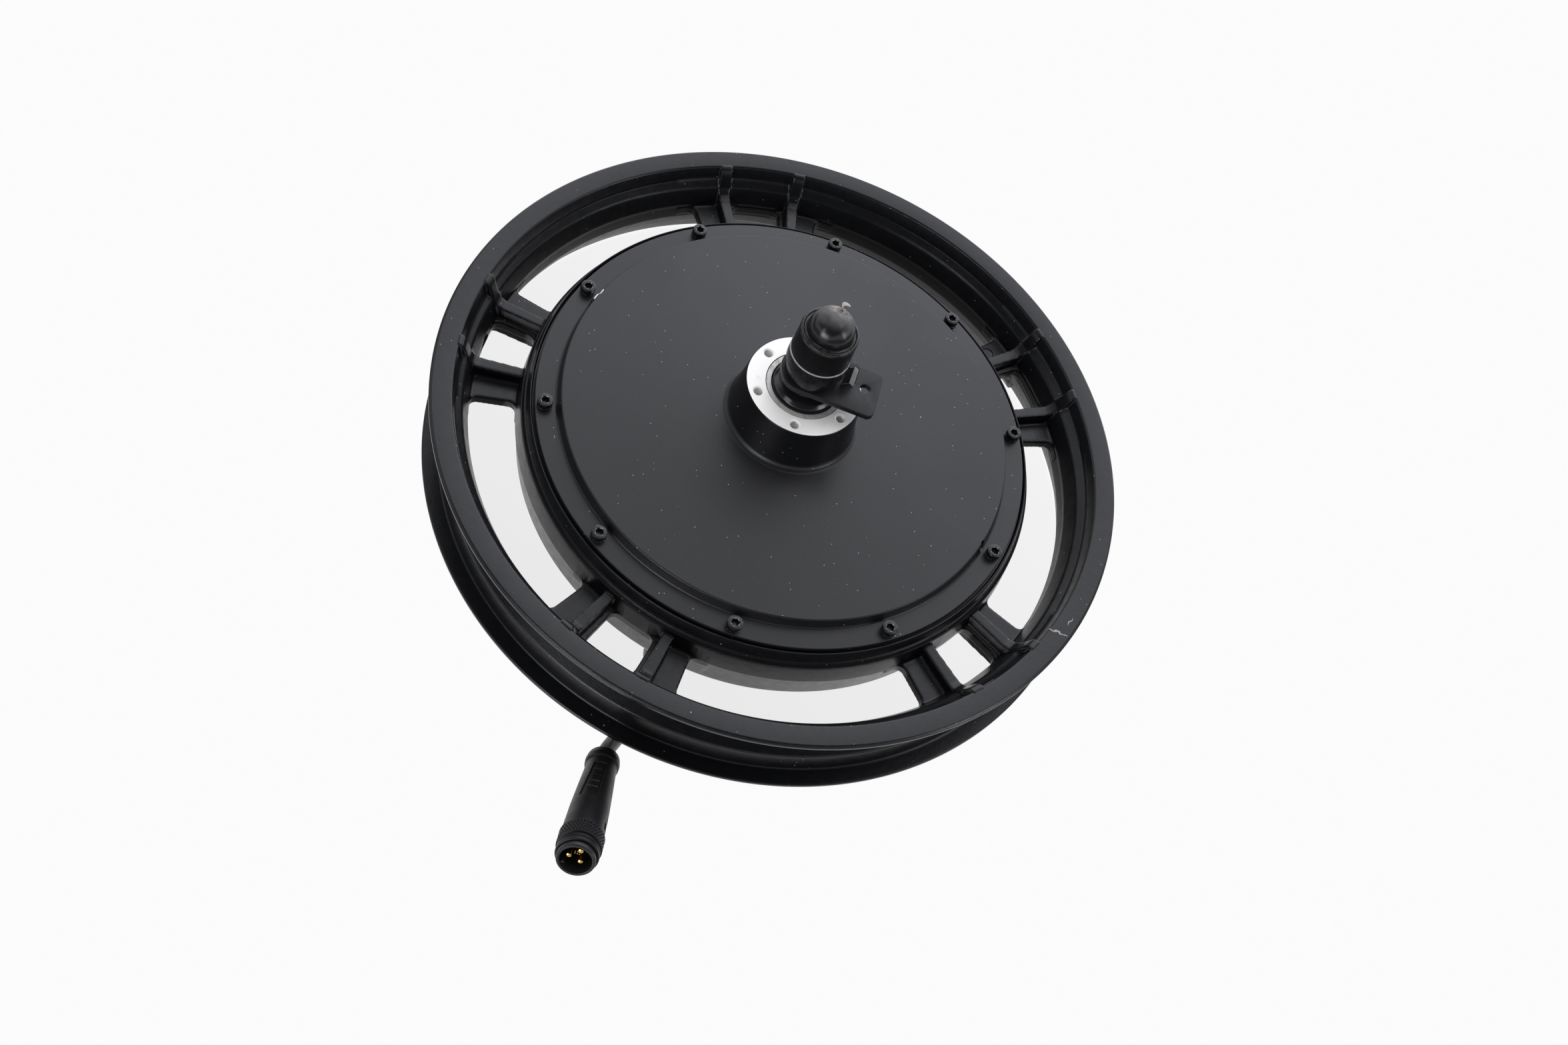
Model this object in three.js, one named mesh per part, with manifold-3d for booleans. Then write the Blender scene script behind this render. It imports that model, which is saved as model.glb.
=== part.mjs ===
// Hub motor wheel: a cast wheel for a 305 mm bead seat with a gearless motor in its hub.
// Millimetres, +Z up. The wheel spins about Y, its mid-plane is y = 0, and the brake side is -Y.
import * as THREE from 'three';
import { mergeVertices } from 'three/addons/utils/BufferGeometryUtils.js';
import Module from 'manifold-3d';

const wasm = await Module();
wasm.setup();

// ---------------------------------------------------------------- driving dimensions
const RING_SEGMENTS = 48;          // facets of every large turned piece
const STATOR_SEGMENTS = 24;        // facets of the turned stator pieces
const SMALL_SEGMENTS = 20;         // facets of axle-sized turned pieces
const FIT_GAP = 0.05;              // gap between turned pieces seated in each other
const CUT_GAP = 0.3;               // gap around a piece that passes through a cut hole

const LIP_R = 160.4;               // rim flange outer radius
const LIP_Y = 22.9;                // half the width over the flanges
const SEAT_R = 152.9;              // bead seat radius at the flange
const WELL_R = 146.0;              // bottom of the tyre well
const BARREL_R = 142.0;            // inner barrel at the mid-plane
const LIP_WALL = 3.2;              // flange thickness

const HUB_R = 121.3;               // motor ring, outside, at the mid-plane
const HUB_BORE_R = 106.6;
const HUB_FACE_Y = 16.8;           // machined seats for the two covers
const BEAD_TOP_Y = 19.1;           // rolled bead that stands up around each cover

const PAIR_COUNT = 5;              // spoke pairs
const PAIR_START = 89.25;          // angle of the first pair, from +X towards +Z
const RIB_ANGLE = 7.2;             // each rib, either side of its pair's centre line
const RIB_WIDTH = 5.3;
const RIB_Y = 9.0;                 // half the rib height
const WEB_Y = 2.6;                 // half the web thickness
const SMALL_WINDOW_ANGLE = 5.0;    // half angle of the window inside a pair
const WEB_ANGLE = 13.0;            // where a pair's web ends
const WINDOW_IN_R = 120.2;
const WINDOW_OUT_R = 142.9;
const WINDOW_CORNER_R = 2.8;
const VALVE_HOLE_R = 4.2;

const COVER_R = 114.8;
const COVER_FACE_Y = 20.0;         // flat ring that carries the screws
const DISC_R = 103.4;              // raised centre disc
const DISC_Y = 25.4;
const COVER_WALL = 3.2;
const SCREW_COUNT = 10;
const SCREW_CIRCLE_R = 110.7;
const SCREW_HEAD_R = 3.45;
const SCREW_HEAD_TALL = 4.0;
const SCREW_SHANK_R = 1.6;
const SCREW_LONG = 13.0;           // with the head
const SCREW_HOLE_R = 1.95;

const BOSS_FACE_Y = 48.6;          // brake disc seat
const BOSS_FACE_R = 26.4;
const BOSS_ROOT_R = 30.0;
const DISC_BOLT_COUNT = 6;
const DISC_BOLT_CIRCLE_R = 22.0;   // 44 mm bolt circle
const DISC_BOLT_HOLE_R = 2.3;
const DISC_BOLT_START = 12.4;

const BRAKE_BEARING = { bore: 8.5, outer: 17.5, wide: 10.0, near: -48.5 };
const CABLE_BEARING = { bore: 10.0, outer: 21.0, wide: 12.0, near: 24.4 };
const BALL_COUNT = 7;

const MAGNET_COUNT = 24;
const AIR_GAP_R = 99.2;            // magnet faces
const STATOR_R = 98.5;
const STATOR_Y = 13.0;
const TOOTH_COUNT = 24;

const AXLE_CORE_R = 11.0;
const CABLE_BORE_R = 4.9;
const CABLE_R = 3.4;
const AXLE_BRAKE_END = -87.0;
const AXLE_CABLE_END = 94.0;

const PLATE_NEAR_Y = -57.9;        // torque plate
const PLATE_FAR_Y = -60.7;
const PLUG_TIP = [-101.2, -6.0, -201.0];
const PLUG_AXIS = [-0.282, -0.470, -0.836];
const PLUG_FRONT = [0.090, -0.880, 0.470];
const PLUG_LONG = 69.0;

// ---------------------------------------------------------------- materials
function finish(color, roughness, metalness) {
  return new THREE.MeshStandardMaterial({ color, roughness, metalness });
}
const SATIN_BLACK = finish(0x1c1d1f, 0.5, 0.3);
const CHARCOAL = finish(0x2c2d30, 0.6, 0.3);
const BLACK_STEEL = finish(0x0d0d0e, 0.35, 0.7);
const BARE_STEEL = finish(0xb4b6b8, 0.3, 0.9);
const RUBBER = finish(0x17181a, 0.7, 0.0);
const PLASTIC = finish(0x1b1c1d, 0.6, 0.0);
const MAGNET = finish(0x8c8f92, 0.4, 0.8);
const ALUMINIUM = finish(0xa8aaac, 0.4, 0.9);
const LAMINATION = finish(0x4a4c50, 0.5, 0.7);
const COPPER = finish(0xb06a3a, 0.4, 0.8);
const GOLD = finish(0xd9a94a, 0.25, 0.9);
const BOARD = finish(0x1e5b34, 0.5, 0.1);

// ---------------------------------------------------------------- solids
function indexedPositions(geometry) {
  const bare = geometry.clone();
  for (const name of Object.keys(bare.attributes)) {
    if (name !== 'position') bare.deleteAttribute(name);
  }
  return mergeVertices(bare, 1e-4);
}

function signedVolume(points, triangles) {
  let sum = 0;
  const a = new THREE.Vector3();
  const b = new THREE.Vector3();
  const c = new THREE.Vector3();
  for (let i = 0; i < triangles.length; i += 3) {
    a.fromArray(points, 3 * triangles[i]);
    b.fromArray(points, 3 * triangles[i + 1]);
    c.fromArray(points, 3 * triangles[i + 2]);
    sum += a.dot(b.cross(c));
  }
  return sum / 6;
}

// A closed three.js geometry as a manifold solid, faces pointing out.
function solid(geometry) {
  const merged = indexedPositions(geometry);
  const points = merged.attributes.position.array;
  const triangles = [];
  const index = merged.index.array;
  for (let i = 0; i < index.length; i += 3) {
    const [a, b, c] = [index[i], index[i + 1], index[i + 2]];
    if (a !== b && b !== c && c !== a) triangles.push(a, b, c);
  }
  if (signedVolume(points, triangles) < 0) triangles.reverse();
  const mesh = new wasm.Mesh({
    numProp: 3,
    vertProperties: new Float32Array(points),
    triVerts: new Uint32Array(triangles),
  });
  return new wasm.Manifold(mesh);
}

function geometryOf(body) {
  const mesh = body.getMesh();
  const geometry = new THREE.BufferGeometry();
  geometry.setAttribute('position', new THREE.BufferAttribute(mesh.vertProperties.slice(), 3));
  geometry.setIndex(new THREE.BufferAttribute(mesh.triVerts.slice(), 1));
  geometry.computeVertexNormals();
  return geometry;
}

function join(parts) {
  return parts.reduce((whole, part) => whole.add(part));
}

function cut(body, tools) {
  return tools.reduce((left, tool) => left.subtract(tool), body);
}

// A ring or a solid of revolution about Y from [radius, y] points, in either order.
function turned(profile, segments = RING_SEGMENTS) {
  const points = profile.map(([radius, y]) => new THREE.Vector2(radius, y));
  if (THREE.ShapeUtils.area(points) < 0) points.reverse();
  const onAxis = points[0].x === 0 && points.at(-1).x === 0;
  if (!onAxis) points.push(points[0].clone());
  return new THREE.LatheGeometry(points, segments);
}

function ring(innerR, outerR, y0, y1, segments = RING_SEGMENTS) {
  return turned([[innerR, y0], [outerR, y0], [outerR, y1], [innerR, y1]], segments);
}

function disc(radius, y0, y1, segments = SMALL_SEGMENTS) {
  return turned([[0, y0], [radius, y0], [radius, y1], [0, y1]], segments);
}

function mirrored(profile) {
  return profile.map(([radius, y]) => [radius, -y]).reverse();
}

// Turns a geometry built on the +X axis to an angle measured from +X towards +Z.
function turnedTo(geometry, degrees) {
  return geometry.clone().rotateY(-THREE.MathUtils.degToRad(degrees));
}

// An upright round bar or hole tool, its axis along Y, at a polar place.
function barAt(radius, y0, y1, circleR, degrees, segments = 6) {
  const bar = new THREE.CylinderGeometry(radius, radius, y1 - y0, segments);
  bar.translate(circleR, (y0 + y1) / 2, 0);
  return turnedTo(bar, degrees);
}

function everyAngle(count, start) {
  return Array.from({ length: count }, (_, i) => start + (360 / count) * i);
}

function polar(radius, degrees) {
  const a = THREE.MathUtils.degToRad(degrees);
  return [radius * Math.cos(a), radius * Math.sin(a)];
}

// A flat shape drawn in X and Z, made thick from y0 to y1.
function slab(shape, y0, y1, curveSegments = 6) {
  const depth = y1 - y0;
  const body = new THREE.ExtrudeGeometry(shape, { depth, bevelEnabled: false, curveSegments });
  return body.rotateX(Math.PI / 2).translate(0, y1, 0);
}

const parts = new THREE.Group();
function place(name, geometry, material, parent = parts) {
  const mesh = new THREE.Mesh(geometry, material);
  mesh.name = name;
  parent.add(mesh);
  return mesh;
}

// ---------------------------------------------------------------- cast wheel
function rimGeometry() {
  const half = [
    [BARREL_R, 0], [143.6, -6.5], [147.8, -13.6], [150.3, -21.8],
    [159.2, -LIP_Y + 0.2], [LIP_R, -LIP_Y + 1.4], [LIP_R, -LIP_Y + LIP_WALL],
    [SEAT_R, -LIP_Y + LIP_WALL], [SEAT_R - 1.0, -9.0], [WELL_R, -5.0],
  ];
  return turned([...half, ...mirrored(half).slice(0, -1)]);
}

function hubRingGeometry() {
  const beadHalf = [
    [HUB_BORE_R, -HUB_FACE_Y], [COVER_R + 0.7, -HUB_FACE_Y], [116.4, -BEAD_TOP_Y], [118.2, -15.0],
  ];
  const brakeShoulder = [[120.1, -12.0]];
  const cableDraft = [[118.8, 15.2]];
  return turned([
    ...beadHalf, ...brakeShoulder, [HUB_R, -1.1], ...cableDraft, ...mirrored(beadHalf).slice(1),
  ]);
}

// One rib seen from its side: level out to the barrel, then up the barrel to the flange face.
function ribGeometry(side) {
  const edge = [
    [HUB_R - 3.0, -RIB_Y], [142.0, -RIB_Y], [146.4, -RIB_Y - 3.4], [148.4, -22.3],
    [152.6, -22.5], [149.2, -12.0], [145.2, -4.0],
  ];
  const outline = [...edge, ...mirrored(edge)];
  const shape = new THREE.Shape(outline.map(([r, y]) => new THREE.Vector2(r, y)));
  const rib = new THREE.ExtrudeGeometry(shape, { depth: RIB_WIDTH, bevelEnabled: false });
  rib.translate(0, 0, -RIB_WIDTH / 2);
  const place3 = rib.attributes.position;
  const middleR = (WINDOW_IN_R + WINDOW_OUT_R) / 2;
  for (let i = 0; i < place3.count; i += 1) {
    place3.setZ(i, (place3.getZ(i) * place3.getX(i)) / middleR);
  }
  return turnedTo(rib, side * RIB_ANGLE);
}

// A window between two angles, with round corners, cut through the web.
function windowTool(startAngle, endAngle) {
  const corner = WINDOW_CORNER_R;
  const inTurn = THREE.MathUtils.radToDeg(corner / WINDOW_IN_R);
  const outTurn = THREE.MathUtils.radToDeg(corner / WINDOW_OUT_R);
  const shape = new THREE.Shape();
  shape.moveTo(...polar(WINDOW_IN_R + corner, startAngle));
  shape.lineTo(...polar(WINDOW_OUT_R - corner, startAngle));
  shape.quadraticCurveTo(
    ...polar(WINDOW_OUT_R, startAngle), ...polar(WINDOW_OUT_R, startAngle + outTurn));
  const steps = Math.ceil((endAngle - startAngle) / (360 / RING_SEGMENTS));
  for (let i = 1; i < steps; i += 1) {
    const angle = startAngle + outTurn + ((endAngle - startAngle - 2 * outTurn) * i) / steps;
    shape.lineTo(...polar(WINDOW_OUT_R, angle));
  }
  shape.lineTo(...polar(WINDOW_OUT_R, endAngle - outTurn));
  shape.quadraticCurveTo(
    ...polar(WINDOW_OUT_R, endAngle), ...polar(WINDOW_OUT_R - corner, endAngle));
  shape.lineTo(...polar(WINDOW_IN_R + corner, endAngle));
  shape.quadraticCurveTo(
    ...polar(WINDOW_IN_R, endAngle), ...polar(WINDOW_IN_R, endAngle - inTurn));
  for (let i = 1; i < steps; i += 1) {
    const angle = endAngle - inTurn - ((endAngle - startAngle - 2 * inTurn) * i) / steps;
    shape.lineTo(...polar(WINDOW_IN_R, angle));
  }
  shape.lineTo(...polar(WINDOW_IN_R, startAngle + inTurn));
  shape.quadraticCurveTo(
    ...polar(WINDOW_IN_R, startAngle), ...polar(WINDOW_IN_R + corner, startAngle));
  return slab(shape, -WEB_Y - 1, WEB_Y + 1, 2);
}

function castWheel() {
  const web = solid(ring(HUB_R - 3.0, BARREL_R + 2.5, -WEB_Y, WEB_Y));
  const windows = [];
  const ribs = [];
  for (const centre of everyAngle(PAIR_COUNT, PAIR_START)) {
    const next = centre + 360 / PAIR_COUNT;
    windows.push(solid(windowTool(centre - SMALL_WINDOW_ANGLE, centre + SMALL_WINDOW_ANGLE)));
    windows.push(solid(windowTool(centre + WEB_ANGLE, next - WEB_ANGLE)));
    ribs.push(solid(turnedTo(ribGeometry(1), centre)), solid(turnedTo(ribGeometry(-1), centre)));
  }
  const body = join([solid(rimGeometry()), solid(hubRingGeometry()), cut(web, windows), ...ribs]);
  const threads = [];
  for (const side of [-1, 1]) {
    const ends = [side * (HUB_FACE_Y - 9), side * (HUB_FACE_Y + 1)].sort((a, b) => a - b);
    for (const angle of everyAngle(SCREW_COUNT, 0)) {
      threads.push(solid(barAt(SCREW_HOLE_R, ...ends, SCREW_CIRCLE_R, angle)));
    }
  }
  const valve = new THREE.CylinderGeometry(VALVE_HOLE_R, VALVE_HOLE_R, 12, 16);
  valve.rotateZ(Math.PI / 2).translate(BARREL_R + 2, 0, 0);
  threads.push(solid(turnedTo(valve, PAIR_START + 360 / PAIR_COUNT)));
  return cut(body, threads);
}
place('cast_wheel', geometryOf(castWheel()), SATIN_BLACK);

// ---------------------------------------------------------------- rotor magnets
const IRON_IN_R = AIR_GAP_R + 3.1;
place('back_iron_ring', ring(IRON_IN_R, HUB_BORE_R - FIT_GAP, -12.6, 12.6), BARE_STEEL);

// One ring of magnets: a shallow gap is cut between each pair of neighbours.
function magnetRing() {
  const body = solid(ring(AIR_GAP_R, IRON_IN_R - FIT_GAP, -STATOR_Y + 0.5, STATOR_Y - 0.5));
  const gaps = everyAngle(MAGNET_COUNT, 0).map((angle) => {
    const gap = new THREE.BoxGeometry(1.6, 2 * STATOR_Y, 1.0);
    return solid(turnedTo(gap.translate(AIR_GAP_R + 0.6, 0, 0), angle));
  });
  return cut(body, gaps);
}
place('magnet_ring', geometryOf(magnetRing()), MAGNET);

// ---------------------------------------------------------------- covers
function brakeCover() {
  const pocketR = BRAKE_BEARING.outer + FIT_GAP;
  const pocketEnd = BRAKE_BEARING.near + BRAKE_BEARING.wide + FIT_GAP;
  const body = solid(turned([
    [COVER_R, -HUB_FACE_Y], [COVER_R, -COVER_FACE_Y], [105.2, -COVER_FACE_Y],
    [DISC_R, -DISC_Y + 0.4], [DISC_R - 1.0, -DISC_Y], [34.4, -DISC_Y],
    [BOSS_ROOT_R, -30.6], [BOSS_FACE_R, -BOSS_FACE_Y], [pocketR, -BOSS_FACE_Y], [pocketR, pocketEnd],
    [15.0, pocketEnd], [15.0, -35.2], [24.6, -35.2], [28.0, -DISC_Y + COVER_WALL],
    [101.0, -DISC_Y + COVER_WALL], [102.4, -13.2], [HUB_BORE_R - FIT_GAP, -13.2],
    [HUB_BORE_R - FIT_GAP, -HUB_FACE_Y],
  ]));
  const holes = everyAngle(SCREW_COUNT, 0).map(
    (angle) => solid(barAt(SCREW_HOLE_R, -COVER_FACE_Y - 1, -HUB_FACE_Y + 1, SCREW_CIRCLE_R, angle)));
  const bolts = everyAngle(DISC_BOLT_COUNT, DISC_BOLT_START).map(
    (angle) => solid(barAt(DISC_BOLT_HOLE_R, -BOSS_FACE_Y - 1, -38.0, DISC_BOLT_CIRCLE_R, angle, 10)));
  return cut(body, [...holes, ...bolts]);
}
place('brake_side_cover', geometryOf(brakeCover()), CHARCOAL);

const CABLE_BOSS_Y = 42.0;
const OIL_SEAL_Y = [36.8, 41.6];
function cableCover() {
  const pocketR = CABLE_BEARING.outer + FIT_GAP;
  const body = solid(turned([
    [pocketR, CABLE_BEARING.near - FIT_GAP], [pocketR, CABLE_BOSS_Y], [27.6, CABLE_BOSS_Y],
    [30.6, 30.6], [34.4, DISC_Y], [DISC_R - 1.0, DISC_Y], [DISC_R, DISC_Y - 0.4],
    [105.2, COVER_FACE_Y], [COVER_R, COVER_FACE_Y], [COVER_R, HUB_FACE_Y],
    [HUB_BORE_R - FIT_GAP, HUB_FACE_Y], [HUB_BORE_R - FIT_GAP, 13.2], [102.4, 13.2],
    [101.0, DISC_Y - COVER_WALL], [19.0, DISC_Y - COVER_WALL], [19.0, CABLE_BEARING.near - FIT_GAP],
  ]));
  const holes = everyAngle(SCREW_COUNT, 0).map(
    (angle) => solid(barAt(SCREW_HOLE_R, HUB_FACE_Y - 1, COVER_FACE_Y + 1, SCREW_CIRCLE_R, angle)));
  return cut(body, holes);
}
place('cable_side_cover', geometryOf(cableCover()), CHARCOAL);

// ---------------------------------------------------------------- cover screws
// A socket head screw standing on its spring washer, head towards -Y, at the origin.
function screwGeometry() {
  const body = solid(turned([
    [0, 0], [SCREW_HEAD_R, 0], [SCREW_HEAD_R, SCREW_HEAD_TALL], [SCREW_SHANK_R, SCREW_HEAD_TALL],
    [SCREW_SHANK_R, SCREW_LONG], [0, SCREW_LONG],
  ], 8));
  const socket = new THREE.CylinderGeometry(1.9, 1.9, 4.0, 6);
  return geometryOf(body.subtract(solid(socket)));
}

function coverScrews() {
  const shape = screwGeometry().translate(0, -COVER_FACE_Y - SCREW_HEAD_TALL - 0.01, 0);
  everyAngle(SCREW_COUNT, 0).forEach((angle, i) => {
    const [x, z] = polar(SCREW_CIRCLE_R, angle);
    const brake = place(`brake_cover_screw_${i + 1}`, shape, BLACK_STEEL);
    brake.position.set(x, 0, z);
    const cable = place(`cable_cover_screw_${i + 1}`, shape, BLACK_STEEL);
    cable.rotation.x = Math.PI;
    cable.position.set(x, 0, z);
  });
}
coverScrews();

// ---------------------------------------------------------------- bearings
function bearing(label, { bore, outer, wide, near }) {
  const far = near + wide;
  const wall = (outer - bore) * 0.27;
  const ballR = (outer - bore - 2 * wall) / 2 - 0.2;
  const pitchR = (outer + bore) / 2;
  const middle = (near + far) / 2;
  place(`${label}_bearing_outer_race`, ring(outer - wall, outer, near, far, 24), BARE_STEEL);
  const innerRace = ring(bore + FIT_GAP, bore + wall, near, far, SMALL_SEGMENTS);
  place(`${label}_bearing_inner_race`, innerRace, BARE_STEEL);
  const cageHalf = wide * 0.2;
  const cage = solid(ring(pitchR - 0.8, pitchR + 0.8, middle - cageHalf, middle + cageHalf, 16));
  const balls = everyAngle(BALL_COUNT, 0).map((angle) => {
    const ball = new THREE.OctahedronGeometry(ballR, 1).translate(pitchR, middle, 0);
    return solid(turnedTo(ball, angle));
  });
  place(`${label}_bearing_cage`, geometryOf(join([cage, ...balls])), BARE_STEEL);
}
bearing('brake', BRAKE_BEARING);
bearing('cable', CABLE_BEARING);

place('brake_bearing_shield', ring(11.4, 14.6, -48.3, -47.3, 24), RUBBER);
place('cable_side_oil_seal', ring(10.4, CABLE_BEARING.outer, ...OIL_SEAL_Y, 24), RUBBER);

// ---------------------------------------------------------------- axle
const THREAD_R = 6.0;
const FLAT_HALF = 5.0;
const CABLE_THREAD_R = 8.0;
const CABLE_FLAT_HALF = 6.5;
const KEY = { wide: 5.0, tall: 4.0, long: 20.0 };
const LEAD_SLOT_Y = 19.0;

function flats(halfWidth, y0, y1) {
  return [-1, 1].map((side) => {
    const block = new THREE.BoxGeometry(30, y1 - y0, 20);
    return solid(block.translate(0, (y0 + y1) / 2, side * (halfWidth + 10)));
  });
}

function axle() {
  const body = solid(turned([
    [0, AXLE_BRAKE_END], [THREAD_R - 0.8, AXLE_BRAKE_END], [THREAD_R, AXLE_BRAKE_END + 0.8],
    [THREAD_R, -56.0], [BRAKE_BEARING.bore, -56.0], [BRAKE_BEARING.bore, -38.4], [AXLE_CORE_R, -38.4],
    [AXLE_CORE_R, -16.0], [12.5, -16.0], [12.5, -14.2], [AXLE_CORE_R, -14.2],
    [AXLE_CORE_R, 24.2], [CABLE_BEARING.bore, 24.2], [CABLE_BEARING.bore, 46.0],
    [CABLE_THREAD_R, 46.0], [CABLE_THREAD_R, AXLE_CABLE_END - 1.0],
    [CABLE_THREAD_R - 1.0, AXLE_CABLE_END], [0, AXLE_CABLE_END],
  ], SMALL_SEGMENTS));
  const bore = solid(disc(CABLE_BORE_R, 8.0, AXLE_CABLE_END + 5));
  const slot = new THREE.BoxGeometry(20, 8, 6).translate(10, LEAD_SLOT_Y, 0);
  const keyway = new THREE.BoxGeometry(KEY.wide + 2 * CUT_GAP, KEY.long + 2 * CUT_GAP, KEY.tall);
  keyway.translate(0, 0, AXLE_CORE_R);
  return cut(body, [
    bore, solid(slot), solid(keyway),
    ...flats(FLAT_HALF, AXLE_BRAKE_END - 1, -56.5), ...flats(CABLE_FLAT_HALF, 56.0, AXLE_CABLE_END + 1),
  ]);
}
place('axle', geometryOf(axle()), BARE_STEEL);
const key = new THREE.BoxGeometry(KEY.wide, KEY.long, KEY.tall - CUT_GAP);
place('axle_key', key.translate(0, 0, AXLE_CORE_R + CUT_GAP / 2), BARE_STEEL);

// ---------------------------------------------------------------- stator
const SPIDER_R = 73.6;
const SPIDER_BORE_R = AXLE_CORE_R + CUT_GAP;
function spider() {
  const body = solid(turned([
    [SPIDER_BORE_R, -13.8], [20.0, -13.8], [20.0, -3.0], [66.0, -3.0], [66.0, -12.0], [SPIDER_R, -12.0],
    [SPIDER_R, 12.0], [66.0, 12.0], [66.0, 3.0], [20.0, 3.0], [20.0, 14.0], [SPIDER_BORE_R, 14.0],
  ], STATOR_SEGMENTS));
  const openings = everyAngle(PAIR_COUNT, 0).map((angle) => solid(barAt(13, -5, 5, 43, angle, 10)));
  const keyway = new THREE.BoxGeometry(KEY.wide + 2 * CUT_GAP, 40, 2 * KEY.tall);
  return cut(body, [...openings, solid(keyway.translate(0, 0, AXLE_CORE_R))]);
}
place('stator_spider', geometryOf(spider()), ALUMINIUM);

// T-shaped teeth around a yoke, as one stack of laminations.
function laminationStack() {
  const outline = [];
  const toothTurn = 360 / TOOTH_COUNT;
  for (const angle of everyAngle(TOOTH_COUNT, 0)) {
    const corners = [
      [80.0, -0.26 * toothTurn], [93.0, -0.2 * toothTurn], [95.5, -0.4 * toothTurn],
      [STATOR_R, -0.42 * toothTurn], [STATOR_R, 0.42 * toothTurn],
      [95.5, 0.4 * toothTurn], [93.0, 0.2 * toothTurn], [80.0, 0.26 * toothTurn],
    ];
    outline.push(...corners.map(([r, turn]) => new THREE.Vector2(...polar(r, angle + turn))));
  }
  const shape = new THREE.Shape(outline);
  const bore = new THREE.Path();
  bore.setFromPoints(everyAngle(36, 0).map((angle) => new THREE.Vector2(...polar(74.0, angle))));
  shape.holes.push(bore);
  return slab(shape, -STATOR_Y, STATOR_Y);
}
place('lamination_stack', laminationStack(), LAMINATION);

// Both rings of end turns and the bars that fill the slots between the teeth.
function windings() {
  const endTurns = [-1, 1].map((side) => {
    const ends = [side * (STATOR_Y + 0.4), side * (STATOR_Y + 6.0)].sort((a, b) => a - b);
    return solid(ring(81.0, 95.0, ...ends, STATOR_SEGMENTS));
  });
  const bars = everyAngle(TOOTH_COUNT, 180 / TOOTH_COUNT).map((angle) => {
    const bar = new THREE.BoxGeometry(10.5, 2 * STATOR_Y + 2, 8.0).translate(87.5, 0, 0);
    return solid(turnedTo(bar, angle));
  });
  return join([...endTurns, ...bars]);
}
place('phase_windings', geometryOf(windings()), COPPER);

function hallBoard() {
  const shape = new THREE.Shape();
  const arc = [70, 80, 90, 100, 110];
  const inner = arc.map((angle) => polar(62.0, angle));
  const outer = arc.map((angle) => polar(73.0, angle)).reverse();
  shape.setFromPoints([...inner, ...outer].map(([x, z]) => new THREE.Vector2(x, z)));
  return slab(shape, 12.4, 14.0);
}
place('hall_sensor_board', hallBoard(), BOARD);

// A round cable along a smooth line through points.
function cableAlong(points, radius, steps, roundSegments) {
  const path = new THREE.CatmullRomCurve3(points.map((p) => new THREE.Vector3(...p)));
  const section = new THREE.Shape();
  section.absarc(0, 0, radius, 0, 2 * Math.PI);
  const options = { steps, bevelEnabled: false, extrudePath: path, curveSegments: roundSegments / 2 };
  return new THREE.ExtrudeGeometry(section, options);
}
const leadPath = [[8.6, LEAD_SLOT_Y, 0], [14, LEAD_SLOT_Y, 0], [30, 17.5, 4], [60, 17.0, 6], [79.5, 16.6, 6]];
place('phase_leads', cableAlong(leadPath, 2.0, 14, 8), PLASTIC);

// ---------------------------------------------------------------- brake-side axle hardware
place('brake_side_dust_ring', turned([
  [8.8, -48.9], [13.2, -48.9], [13.9, -49.6], [13.6, -50.8], [12.4, -51.6], [8.8, -51.6],
], 24), RUBBER);
place('brake_side_spacer', ring(THREAD_R + CUT_GAP, 9.4, -57.8, -56.1, SMALL_SEGMENTS), BLACK_STEEL);

const PLATE_HOLE = { x: 23.4, z: -8.0, r: 2.4 };
// The plate's hooked lug stands beside the nut, clear of its flange.
const LUG_OUTLINE = [[12.3, -6.4], [16.2, -5.7], [17.5, -7.3], [18.7, -5.8], [17.3, -2.6], [14.0, -2.6]];
const LUG_TOP_Y = -73.0;
const LUG_SINK = 1.0;
function torquePlate() {
  const shape = new THREE.Shape();
  const end = new THREE.Vector2(32.8, -0.3);
  const foot = new THREE.Vector2(25.2, -22.2);
  shape.moveTo(-7.6, 9.5);
  shape.lineTo(9.0, 9.0);
  shape.lineTo(end.x - 2.6, end.y + 1.3);
  shape.quadraticCurveTo(end.x + 0.6, end.y + 0.6, end.x - 0.6, end.y - 2.6);
  shape.lineTo(foot.x + 1.0, foot.y + 2.4);
  shape.quadraticCurveTo(foot.x, foot.y, foot.x - 2.6, foot.y - 0.2);
  shape.lineTo(-8.0, -10.8);
  shape.quadraticCurveTo(-14.2, -8.4, -13.7, 0.5);
  shape.quadraticCurveTo(-13.2, 7.8, -7.6, 9.5);
  const body = solid(slab(shape, PLATE_FAR_Y, PLATE_NEAR_Y));
  const hole = new THREE.CylinderGeometry(PLATE_HOLE.r, PLATE_HOLE.r, 12, 16);
  hole.translate(PLATE_HOLE.x, PLATE_NEAR_Y, PLATE_HOLE.z);
  const opening = solid(disc(THREAD_R + CUT_GAP, PLATE_FAR_Y - 1, PLATE_NEAR_Y + 1));
  const keyed = flats(FLAT_HALF + CUT_GAP, PLATE_FAR_Y - 2, PLATE_NEAR_Y + 2);
  const lugShape = new THREE.Shape();
  lugShape.setFromPoints(LUG_OUTLINE.map(([x, z]) => new THREE.Vector2(x, z)));
  const lug = solid(slab(lugShape, LUG_TOP_Y, PLATE_FAR_Y + LUG_SINK));
  return cut(body, [cut(opening, keyed), solid(hole)]).add(lug);
}
place('torque_plate', geometryOf(torquePlate()), BLACK_STEEL);

place('brake_side_lock_washer', turned([
  [THREAD_R + CUT_GAP, -67.0], [11.9, -67.0], [12.3, -66.4], [12.3, -61.4], [11.9, -60.8],
  [THREAD_R + CUT_GAP, -60.8],
], SMALL_SEGMENTS), BLACK_STEEL);

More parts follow.
